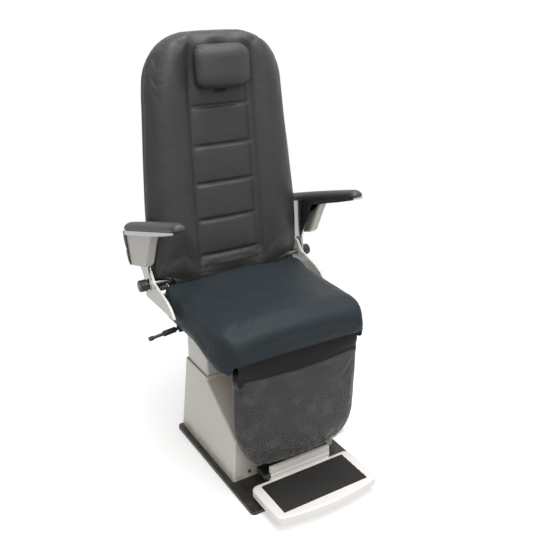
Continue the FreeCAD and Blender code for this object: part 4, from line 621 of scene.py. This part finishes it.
def sew_back(point, normal):
    """Padded panels between sewn channels, a valley beside them, full bolsters and a seam round the side."""
    place = leaned(point, BACK_LEAN)
    plain = place.copy()
    facing = leaned(point + normal, BACK_LEAN) - place
    if place.z < 14 * MM and math.hypot(place.y, place.z) > 15 * MM:
        away = Vector((0, place.y, place.z))
        place += away.normalized() * max(0, 27.6 * MM - away.length) * ramp(16 * MM - place.z, 0, 12 * MM)
    if place.y > -12 * MM or facing.y > -0.2:
        side = bell(place.y - SIDE_SEAM, 3 * MM) * (1 - ramp(abs(facing.y), 0.5, 0.8))
        place -= facing * 1.7 * MM * (side * ramp(place.z, 0, 30 * MM))
    seam = seam_across(place.z)
    beside = abs(place.x)
    front = ramp(-facing.y, -0.1, 0.5)
    high = ramp(place.z, 50 * MM, 170 * MM)
    swell = ramp(beside, seam + 20 * MM, seam + 60 * MM) * high
    swell *= 1 - 0.5 * ramp(place.z, 600 * MM, 720 * MM)
    place += facing * 6.0 * MM * swell * front
    place.x += math.copysign(5.0 * MM, place.x) * (1 - front) * ramp(beside, 190 * MM, 220 * MM) * high
    place.x += math.copysign(8.0 * MM, place.x) * (1 - high) * ramp(beside, 226 * MM, 240 * MM)
    if facing.y > -0.2 or place.y > 20 * MM or place.z < 8 * MM:
        return unleaned(place, BACK_LEAN)
    run = ramp(place.z, SEAM_FOOT, SEAM_FOOT + 30 * MM)
    run *= 1 - ramp(place.z, SEAM_HEAD - 105 * MM, SEAM_HEAD + 12 * MM)
    inside = 1 - ramp(beside, seam - 14 * MM, seam + 5 * MM)
    bulge = 1 - min(1, beside / seam) ** 5
    channel = max(bell(place.z - height, 6 * MM) for height in CHANNEL_HEIGHTS)
    puff = max(bell(place.z - height, 24 * MM) for height in CHANNEL_HEIGHTS)
    face = PANEL_EDGE + (PANEL_FACE - PANEL_EDGE) * bulge * (1 - 0.2 * puff)
    face += 8.0 * MM * channel * (0.35 + 0.65 * bulge)
    crease = noise.noise(Vector((place.x * 30, place.z * 120, 4.0))) * 0.8 * MM * puff
    place.y += (face + crease - place.y) * run * inside
    place.y += 4.0 * MM * bell(beside - seam - 3 * MM, 9 * MM) * run
    slot = (1 - ramp(beside, 20 * MM, 42 * MM)) * ramp(place.z, 540 * MM, 562 * MM)
    slot *= 1 - ramp(place.z, 676 * MM, 700 * MM)
    return unleaned(place.lerp(plain, slot), BACK_LEAN)


def back_held(point, normal):
    """The rear, the foot and the slide's strip, which the cloth run leaves alone."""
    place = leaned(point, BACK_LEAN)
    foot = place.z < 40 * MM and 185 * MM < abs(place.x) < 226 * MM
    under = place.z < 24 * MM
    slide = abs(place.x) < 20 * MM and 565 * MM < place.z < 680 * MM and place.y > -36 * MM
    return place.y > 28 * MM or foot or under or slide


back = cushion("back_cushion", "back_upholstery", 6.2, back_held, shrink=0.6, cap=6.0, sew=sew_back)


def even_crown(form):
    """Smooths the crown above the head cushion's slide, where the held strip leaves a lip."""
    near = []
    for vertex in form.verts:
        place = leaned(vertex.co, BACK_LEAN)
        if abs(place.x) < 85 * MM and 683 * MM < place.z < 752 * MM and place.y < 10 * MM:
            near.append(vertex)
    settled(form, 40, verts=near)


reshape(back, even_crown)


def seat_held(point, normal):
    """The underside and the rear face."""
    return (normal.z < -0.45 and point.z < 0.475) or point.y > 0.2


def sew_seat(point, normal):
    """A level rear rim, a nose that hangs low at its corners with gathers there, and a faint sitting hollow."""
    x, y, z = point
    across = abs(x)
    rim = ramp(y, 0.12, 0.19) * ramp(across, 0.08, 0.2) * ramp(normal.z, 0.3, 0.6)
    z += max(0, min(13 * MM, 0.557 - z)) * rim
    low = 1 - ramp(z, 0.475, 0.525)
    z -= 30 * MM * ramp(-y, -0.02, 0.14) * ramp(across, 0.211, 0.224) * low
    corner = Vector((across - 0.185, y + 0.125, 0))
    turn = math.atan2(-corner.y, corner.x)
    near = bell(corner.length - 0.068, 34 * MM) * ramp(turn, 0.1, 0.5) * (1 - ramp(turn, 1.1, 1.5))
    pleat = math.sin(turn * 46 + math.copysign(1.3, x)) * 0.9 * MM
    seam = 1.6 * MM * bell(point.z - 0.474, 3 * MM) * (1 - ramp(abs(normal.z), 0.5, 0.8))
    sat = bell(math.hypot(x / 1.35, y - 0.03), 0.115) * ramp(z, 0.53, 0.55)
    nose = 2.5 * MM * ramp(-y, 0.15, 0.19) * (1 - ramp(z, 0.53, 0.56))
    return Vector((x, y, z)) + normal * (nose - pleat * near * low - seam) - Vector((0, 0, 3.0 * MM * sat))


seat = cushion("seat_cushion", "seat_upholstery", 6.0, seat_held, shrink=1.2, sew=sew_seat)


def leg_held(point, normal):
    """The rear face and the top, which passes under the seat's nose when the leg rest swings."""
    return point.y > -0.156 or point.z > 0.392


leg = cushion("leg_cushion", "leg_upholstery", 5.5, leg_held, shrink=1.2)


def head_held(point, normal):
    """The rear half, next to the slide."""
    return leaned(point, BACK_LEAN).y > -46 * MM


def sew_head(point, normal):
    """A puffed face with rounded corners, the seam round the cushion's edge, and small tucks at its corners."""
    place = leaned(point, BACK_LEAN)
    facing = leaned(point + normal, BACK_LEAN) - place
    across, up = abs(place.x) / 0.0915, (place.z - 0.6275) / 0.0645
    corner = ramp(across, 0.55, 0.98) * ramp(abs(up), 0.5, 0.98)
    dome = max(0, 1 - across ** 4) * max(0, 1 - up ** 4) * ramp(-facing.y, 0.3, 0.8)
    tuck = bell(place.y + 52 * MM, 3.2 * MM) * 2.4 * MM
    tuck += math.sin(math.atan2(abs(up), across) * 34) * 0.9 * MM * corner
    place.y -= 7.0 * MM * dome
    place.x -= math.copysign(6.0 * MM, place.x) * corner
    place.z -= math.copysign(5.0 * MM, up) * corner
    place -= facing * tuck
    return unleaned(place, BACK_LEAN)


pillow = cushion(
    "head_cushion", "head_upholstery", 4.0, head_held, shrink=1.5, cap=5.0, pressure=5.0, sew=sew_head
)


def pad_held(point, normal):
    """The underside of an arm pad."""
    return leaned(point, ARM_LEAN).z < 174 * MM


for side in ("left", "right"):
    cushion("arm_pad_" + side, "arm_rest_" + side, 3.6, pad_held, shrink=0.8, cap=2.0, settle=3)


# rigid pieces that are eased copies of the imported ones: node, name, edge width in millimetres

EASED = [
    ("base_plate", "floor_plate", 1.2),
    ("lower_cover", "pedestal_cover", 1.1),
    ("upper_cover", "sliding_cover", 0.9),
    ("side_plate_left", "side_wedge_left", 1.2),
    ("side_plate_right", "side_wedge_right", 1.2),
    ("arm_frame_left", "arm_bracket_left", 0.8),
    ("arm_frame_right", "arm_bracket_right", 0.8),
    ("arm_cover_left", "arm_panel_left", 1.6),
    ("arm_cover_right", "arm_panel_right", 1.6),
    ("arm_trim_left", "arm_strip_left", 1.6),
    ("arm_trim_right", "arm_strip_right", 1.6),
    ("footrest", "foot_tray_casting", 1.0),
    ("foot_hinge", "foot_hinge_blocks", 0.8),
    ("seat_frame", "seat_frame_tubes", 1.2),
    ("back_shell", "back_rear_shell", 0.6),
    ("recline_lever", "lever_arm", 0.5),
    ("lever_tip", "lever_end", 0.4),
    ("seat_pan", "seat_board", 0.6),
]
for node, name, width in EASED:
    eased_copy(node, name, width)


# surfaces that the smaller pieces are laid on


def surface_of(piece):
    """A tree of a piece's faces for finding where a straight line meets them."""
    form = bmesh.new()
    form.from_mesh(piece.data)
    tree = BVHTree.FromBMesh(form)
    form.free()
    return tree


def met(tree, start, direction, reach=0.6):
    """Where a line from start first meets a surface, with the surface's normal there."""
    point, normal, _, _ = tree.ray_cast(Vector(start), Vector(direction).normalized(), reach)
    return point, normal


def along_x(centre):
    """The place of a cylinder that lies along the X axis."""
    return Matrix.Translation(centre) @ Matrix.Rotation(math.pi / 2, 4, "Y")


def add_cylinder(form, place, radius, depth, segments):
    """A closed cylinder at a place."""
    bmesh.ops.create_cone(
        form, cap_ends=True, segments=segments, radius1=radius, radius2=radius, depth=depth, matrix=place
    )


def rounded(form, edges, width, segments):
    """Rounds some edges of a form."""
    bmesh.ops.bevel(
        form, geom=edges, offset=width, segments=segments, profile=0.5, affect="EDGES", material=-1
    )


def add_rod(form, first, last, radius, segments=6):
    """A short straight rod between two points."""
    run = last - first
    turn = run.to_track_quat("Z", "Y").to_matrix().to_4x4()
    add_cylinder(form, Matrix.Translation((first + last) / 2) @ turn, radius, run.length, segments)


def add_stitches(form, path, radius=0.45 * MM, step=6.5 * MM, length=4.3 * MM):
    """Even stitches along a line of points that lie on a surface."""
    wanted, walked = 0.0, 0.0
    for first, last in zip(path, path[1:]):
        run = last - first
        while wanted + length < walked + run.length:
            at = max(0, wanted - walked)
            ahead = run.normalized()
            if at + length <= run.length:
                add_rod(form, first + ahead * at, first + ahead * (at + length), radius)
            wanted += step
        walked += run.length


# stitched lines on the backrest and on the head cushion

back_surface = surface_of(back)
pillow_surface = surface_of(pillow)
INTO_BACK = unleaned(Vector((0, 1, 0)), BACK_LEAN) - unleaned(Vector((0, 0, 0)), BACK_LEAN)


def on_front(tree, across, up, proud=0.15 * MM):
    """The point of a leaning front face at a place across and up it."""
    point, _ = met(tree, unleaned(Vector((across, -0.3, up)), BACK_LEAN), INTO_BACK)
    return point - INTO_BACK * proud if point else None


def front_path(tree, places):
    """The points of a leaning front face at several places."""
    found = [on_front(tree, across, up) for across, up in places]
    return [point for point in found if point]


STITCH_PACE = 14 * MM
threads = bmesh.new()
for side in (-1, 1):
    heights = [SEAM_FOOT + 12 * MM + STITCH_PACE * number for number in range(43)]
    places = [(side * (seam_across(height) + 13 * MM), height) for height in heights]
    add_stitches(threads, front_path(back_surface, places))
for height in CHANNEL_HEIGHTS:
    half = seam_across(height) - 16 * MM
    count = int(2 * half / STITCH_PACE)
    places = [(-half + 2 * half * number / count, height + 9 * MM) for number in range(count + 1)]
    add_stitches(threads, front_path(back_surface, places))
new_piece("back_stitches", threads, "thread", "backrest", smooth=False)

threads = bmesh.new()
PILLOW_HALF, PILLOW_FOOT, PILLOW_HEAD = 76 * MM, 578 * MM, 678 * MM
across_steps = [-PILLOW_HALF + 2 * PILLOW_HALF * number / 12 for number in range(13)]
up_steps = [PILLOW_FOOT + (PILLOW_HEAD - PILLOW_FOOT) * number / 8 for number in range(9)]
for height in (PILLOW_FOOT, PILLOW_HEAD):
    add_stitches(threads, front_path(pillow_surface, [(across, height) for across in across_steps]))
for across in (-PILLOW_HALF, PILLOW_HALF):
    add_stitches(threads, front_path(pillow_surface, [(across, height) for height in up_steps]))
new_piece("head_stitches", threads, "thread", "headrest", smooth=False)


# loose sheets: the knee flap under the seat's nose and the clear film round the leg rest

seat_surface = surface_of(seat)
leg_surface = surface_of(leg)


def sheet_form(rows):
    """A sheet from rows of points, each as long as the others."""
    form = bmesh.new()
    made = [[form.verts.new(point) for point in row] for row in rows]
    for upper, lower in zip(made, made[1:]):
        for number in range(len(upper) - 1):
            form.faces.new((upper[number], lower[number], lower[number + 1], upper[number + 1]))
    bmesh.ops.recalc_face_normals(form, faces=form.faces)
    return form


def flat_size(rows, form):
    """The longest row, the longest column and the area, measured on the modelled and wrinkled sheet."""

    def run(points):
        return sum((b - a).length for a, b in zip(points, points[1:]))

    width = max(run(row) for row in rows)
    length = max(run([row[number] for row in rows]) for number in range(len(rows[0])))
    area = sum(face.calc_area() for face in form.faces)
    return (width, length), min(area, width * length)


FLAP_HALF, FLAP_LOW = 203 * MM, 412 * MM
flap_rows = []
FLAP_STEPS, FLAP_COLUMNS = 9, 44
columns = []
for number in range(FLAP_COLUMNS + 1):
    across = -FLAP_HALF + 2 * FLAP_HALF * number / FLAP_COLUMNS
    top, _ = met(seat_surface, (across, -0.186, 0.40), (0, 0, 1))
    foot, _ = met(leg_surface, (across, -0.35, FLAP_LOW), (0, 1, 0))
    columns.append((top, foot))
for step in range(FLAP_STEPS + 1):
    share = step / FLAP_STEPS
    row = []
    for top, foot in columns:
        point = top.lerp(foot, share)
        fold = noise.noise(Vector((point.x * 22, 0.0, 7.0))) * 1.5 * MM
        point.y -= math.sin(math.pi * share) * (2.5 * MM + fold) + 1.2 * MM * share
        row.append(point)
    flap_rows.append(row)
flap_form = sheet_form(flap_rows)
flap_flat, flap_area = flat_size(flap_rows, flap_form)
flap = new_piece("knee_flap", flap_form, "leg_vinyl", None, smooth=False)
flap.data.shade_smooth()
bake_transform(flap)

FILM_TOP, FILM_FOOT, FILM_ROWS, FILM_COLUMNS = 406 * MM, 104 * MM, 84, 78
# how far out the loose edge stands, in millimetres, at heights from the top down
FILM_REACHES = [
    (406, 214), (350, 222), (290, 233), (245, 240), (200, 240), (165, 232), (130, 192), (104, 158)
]


def film_row(height, share):
    """One level of the film: round the right edge, across the front and out past the left one, loose."""
    side, _ = met(leg_surface, (-0.4, -0.185, height), (1, 0, 0))
    half = abs(side.x) if side else 0.14
    edge = half - 15 * MM
    row = []
    for depth in (-166 * MM, -174 * MM, -182 * MM, -190 * MM):
        point, _ = met(leg_surface, (-0.4, depth, height), (1, 0, 0))
        row.append((point.x if point else -half, depth, "side"))
    for number in range(FILM_COLUMNS + 1):
        across = -edge + 2 * edge * number / FILM_COLUMNS
        point, _ = met(leg_surface, (across, -0.4, height), (0, 1, 0))
        row.append((across, point.y if point else -0.2, "front"))
    reach = 214 * MM
    for (upper, wide), (lower, narrow) in zip(FILM_REACHES, FILM_REACHES[1:]):
        if lower * MM <= height <= upper * MM:
            reach = (wide + (narrow - wide) * ramp(upper * MM - height, 0, (upper - lower) * MM)) * MM
    reach = max(reach, edge + 6 * MM)
    start = row[-1][1]
    for number in range(1, 9):
        out = number / 8
        row.append((edge + (reach - edge) * out, start + 18 * MM * out ** 1.4, "loose"))
    points = []
    for across, depth, kind in row:
        fold = noise.noise(Vector((across * 17, height * 6 + across * 9, 2.0)))
        ridge = 1 - abs(noise.noise(Vector((across * 26 + height * 21, height * 7 - across * 5, 5.0)))) * 5
        proud = 1.6 * MM + (3.0 * MM * abs(fold) + 2.6 * MM * max(0, ridge)) * ramp(share, 0.0, 0.12)
        pleat = math.sin(across * 210 + 2.0 * fold) * 2.6 * MM * ramp(share, 0.72, 1.0)
        proud += pleat + 2.6 * MM * ramp(share, 0.72, 1.0)
        if kind == "side":
            points.append(Vector((across - proud * 0.6, depth, height)))
        else:
            points.append(Vector((across, depth - proud, height + 3.0 * MM * fold)))
    return points


film_rows = []
for number in range(FILM_ROWS + 1):
    share = number / FILM_ROWS
    film_rows.append(film_row(FILM_TOP + (FILM_FOOT - FILM_TOP) * share, share))
film_form = sheet_form(film_rows)
film_flat, film_area = flat_size(film_rows, film_form)
film = new_piece("leg_film", film_form, "film", "leg_rest", smooth=False)
film.data.shade_smooth()

# clamping knobs, lever grip, foot mat and shell screws

KNOB_SIDES, KNOB_LOBES, KNOB_COLLAR = 64, 8, 4 * MM


def make_knob(side, body, node):
    """A lobed clamping knob with a dished face, on its collar."""
    low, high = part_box(node)
    centre = (low + high) / 2
    outer = high.x if side > 0 else low.x
    inner = low.x if side > 0 else high.x
    radius = (high.z - low.z) / 2
    form = bmesh.new()
    step = inner + side * KNOB_COLLAR
    for start, end, size in ((step, outer, radius), (inner, step, radius * 0.68)):
        place = along_x(((start + end) / 2, centre.y, centre.z))
        add_cylinder(form, place, size, abs(end - start), KNOB_SIDES)
    for vertex in form.verts:
        y, z = vertex.co.y - centre.y, vertex.co.z - centre.z
        if math.hypot(y, z) > radius * 0.9:
            lobe = 1 - 0.055 * (1 + math.cos(KNOB_LOBES * math.atan2(z, y))) / 2
            vertex.co.y, vertex.co.z = centre.y + y * lobe, centre.z + z * lobe
    rim = []
    for face in form.faces:
        outward = face.calc_center_median().x * side > outer * side - MM
        if abs(face.normal.x) > 0.9 and outward:
            rim += face.edges
    rounded(form, rim, 2.4 * MM, 4)
    face = max(form.faces, key=lambda item: item.calc_area())
    bmesh.ops.inset_region(form, faces=[face], thickness=3 * MM, depth=0)
    bmesh.ops.inset_region(form, faces=[face], thickness=1.2 * MM, depth=-1.2 * MM)
    bmesh.ops.recalc_face_normals(form, faces=form.faces)
    new_piece(node + "_moulded", form, slot_of[node], body, stands_for=[node])
    cap = bmesh.new()
    add_cylinder(cap, along_x((outer - side * 0.6 * MM, centre.y, centre.z)), 6 * MM, 1.6 * MM, 32)
    ends = [edge for edge in cap.edges if len(edge.link_faces) == 2 and edge.calc_face_angle() > 1]
    rounded(cap, ends, 0.5 * MM, 2)
    new_piece(node + "_cap", cap, "plated", body)


make_knob(1, "knob_left", "clamp_knob_left")
make_knob(-1, "knob_right", "clamp_knob_right")


def turned(profile, steps=28):
    """A body turned about the X axis from a profile of (along, radius)."""
    form = bmesh.new()
    points = [form.verts.new((along, 0, radius)) for along, radius in profile]
    edges = [form.edges.new(pair) for pair in zip(points, points[1:] + points[:1])]
    bmesh.ops.spin(
        form, geom=points + edges, cent=(0, 0, 0), axis=(1, 0, 0), angle=math.tau, steps=steps, use_merge=True
    )
    bmesh.ops.remove_doubles(form, verts=form.verts, dist=0.01 * MM)
    bmesh.ops.recalc_face_normals(form, faces=form.faces)
    return form


LEVER_PIVOT, LEVER_DROOP = Vector((-0.216, 0.150, 0.436)), math.radians(7)
# the grip's outline in millimetres: along the lever and out from its middle
grip_profile = [(18.0, 5.05), (18.0, 6.6), (19.5, 8.4)]
for ring in range(9):
    start = 20.5 + ring * 4.4
    grip_profile += [(start, 9.0), (start + 2.6, 9.0), (start + 3.1, 8.0), (start + 3.9, 8.0)]
grip_profile += [(60.4, 8.4), (62.0, 6.6), (62.0, 5.05)]
grip = turned([(along * MM, radius * MM) for along, radius in grip_profile])
grip_place = Matrix.Translation(LEVER_PIVOT) @ Matrix.Rotation(math.pi - LEVER_DROOP, 4, "Y")
bmesh.ops.transform(grip, matrix=grip_place, verts=grip.verts)
new_piece("lever_ribbed_grip", grip, slot_of["lever_grip"], "lever", stands_for=["lever_grip"])


def make_mat():
    """The foot mat: a thin slab with round corners and rows of small studs."""
    low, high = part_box("tread_mat")
    thick = 4 * MM
    form = bmesh.new()
    middle = (low + high) / 2
    size = Matrix.Diagonal((high.x - low.x, high.y - low.y, thick, 1))
    place = Matrix.Translation((middle.x, middle.y, low.z + thick / 2)) @ size
    bmesh.ops.create_cube(form, size=1, matrix=place)
    upright = [edge for edge in form.edges if abs(edge.verts[0].co.z - edge.verts[1].co.z) > MM]
    rounded(form, upright, 6 * MM, 5)
    upper = low.z + thick - 0.1 * MM
    top = [edge for edge in form.edges if min(vertex.co.z for vertex in edge.verts) > upper]
    rounded(form, top, 0.7 * MM, 2)
    across, deep, stud_foot, stud_top, stud_depth = 26, 12, 3.4 * MM, 2.6 * MM, 1.4 * MM
    for row in range(deep):
        for column in range(across):
            x = low.x + (high.x - low.x) * (column + 0.5 + 0.25 * (1 if row % 2 else -1)) / across
            y = low.y + (high.y - low.y) * (row + 0.5) / deep
            stud = Matrix.Translation((x, y, low.z + thick + 0.5 * MM))
            bmesh.ops.create_cone(
                form,
                cap_ends=True,
                segments=8,
                radius1=stud_foot,
                radius2=stud_top,
                depth=stud_depth,
                matrix=stud,
            )
    new_piece("foot_mat", form, slot_of["tread_mat"], "foot_tray", stands_for=["tread_mat"])


make_mat()


def make_shell_screws():
    """Round-headed screws that hold the rear shell."""
    form = bmesh.new()
    radius, above, below = 4.6 * MM, 0.55, 0.8
    shell = surface_of(nodes["back_shell"])
    for across, up in ((0.17, 0.075), (0.178, 0.315), (0.165, 0.545), (0.06, 0.675)):
        for side in (-1, 1):
            point, normal = met(shell, unleaned(Vector((across * side, 0.3, up)), BACK_LEAN), -INTO_BACK)
            turn = normal.to_track_quat("Z", "Y").to_matrix().to_4x4()
            place = Matrix.Translation(point) @ turn
            head = bmesh.ops.create_uvsphere(
                form, u_segments=18, v_segments=8, radius=radius, matrix=place
            )
            for vertex in head["verts"]:
                up_from = (vertex.co - point).dot(normal)
                vertex.co -= normal * up_from * (above if up_from > 0 else below)
    new_piece("shell_screws", form, "plated", "backrest")


make_shell_screws()


def make_foot_roll():
    """The padded roll round the axle that closes the crease between seat and backrest."""
    half, radius, ring = 191 * MM, 27.9 * MM, 48
    form = bmesh.new()
    add_cylinder(form, along_x(AXLE), radius, 2 * half, ring)
    ends = [edge for edge in form.edges if abs(edge.verts[0].co.x - edge.verts[1].co.x) < MM]
    rounded(form, ends, 8 * MM, 5)
    cuts, margin = 40, 12 * MM
    for step in range(1, cuts):
        at = -half + margin + (2 * half - 2 * margin) * step / cuts
        cut = form.verts[:] + form.edges[:] + form.faces[:]
        bmesh.ops.bisect_plane(form, geom=cut, plane_co=(at, 0, 0), plane_no=(1, 0, 0))
    for vertex in form.verts:
        around = Vector((0, vertex.co.y - AXLE.y, vertex.co.z - AXLE.z))
        dent = noise.noise(Vector((vertex.co.x * 45, around.y * 20, around.z * 20))) * 0.7 * MM
        vertex.co -= around.normalized() * abs(dent) if around.length > 20 * MM else Vector()
    roll = new_piece("back_foot_roll", form, "back_vinyl", "backrest")


make_foot_roll()


# stage, light and camera


def area_light(name, place, size, power):
    """A round lamp that points at the chair."""
    data = bpy.data.lights.new(name, "AREA")
    data.shape = "DISK"
    data.size = size
    data.energy = power
    lamp = bpy.data.objects.new(name, data)
    lamp.location = place
    lamp.rotation_euler = (LIGHT_AIM - Vector(place)).to_track_quat("-Z", "Y").to_euler()
    scene.collection.objects.link(lamp)


def seen_directly(tree):
    """1 where the camera, a reflection or a look through the film meets the surface."""
    path = add(tree, "LightPath")
    seen = maths(tree, "MAXIMUM", path.outputs["Is Camera Ray"], path.outputs["Is Glossy Ray"])
    return maths(tree, "MAXIMUM", seen, path.outputs["Is Transmission Ray"])


LIGHT_AIM = Vector((0, 0, 0.6))
FLOOR_HALF, FLOOR_NEAR, FLOOR_FAR, FLOOR_COLOUR, FLOOR_LIFT = 40.0, 0.9, 2.6, 0.80, 0.42
SURROUND_LIGHT = 0.34
CAMERA_PLACE, CAMERA_AIM = Vector((-1.010, -1.676, 1.456)), Vector((0, -0.020, 0.640))
LENS_LENGTH, SENSOR_WIDTH = 48, 36


def make_stage():
    """A pale floor that runs out into white, and a white surround."""
    floor_form = bmesh.new()
    bmesh.ops.create_grid(floor_form, x_segments=4, y_segments=4, size=FLOOR_HALF)
    mesh = bpy.data.meshes.new("studio_floor")
    floor_form.to_mesh(mesh)
    floor_form.free()
    floor = bpy.data.objects.new("studio_floor", mesh)
    scene.collection.objects.link(floor)
    look, tree, shader, place = new_look("Studio floor", 0.8, specular=0.0)
    away = add(tree, "VectorMath", {"operation": "LENGTH"}, _0=place).outputs["Value"]
    far = spread(tree, away, FLOOR_NEAR, FLOOR_FAR)
    near_colour = (FLOOR_COLOUR,) * 3 + (1.0,)
    join(tree, mixed(tree, far, near_colour, BLACK), shader, "Base Color")
    glow = spread(tree, far, 0.0, 1.0, FLOOR_LIFT, 1.0)
    join(tree, maths(tree, "MULTIPLY", seen_directly(tree), glow), shader, "Emission Strength")
    shader.inputs["Emission Color"].default_value = WHITE
    mesh.materials.append(look)
    world = scene.world or bpy.data.worlds.new("Studio")
    scene.world = world
    world.use_nodes = True
    tree = world.node_tree
    surround = next(n for n in tree.nodes if n.type == "BACKGROUND")
    surround.inputs["Color"].default_value = WHITE
    strength = spread(tree, seen_directly(tree), 0.0, 1.0, SURROUND_LIGHT, 1.0)
    tree.links.new(strength, surround.inputs["Strength"])


make_stage()
area_light("Key", (-1.1, -2.8, 2.9), 2.4, 58)
area_light("Top", (0.3, -0.3, 3.3), 2.4, 84)

lens = bpy.data.cameras.new("Photo camera")
lens.lens = LENS_LENGTH
lens.sensor_width = SENSOR_WIDTH
camera = bpy.data.objects.new("Photo camera", lens)
camera.location = CAMERA_PLACE
camera.rotation_euler = (CAMERA_AIM - CAMERA_PLACE).to_track_quat("-Z", "Y").to_euler()
scene.collection.objects.link(camera)
scene.camera = camera
scene.view_settings.view_transform = "Standard"

bpy.context.view_layer.update()
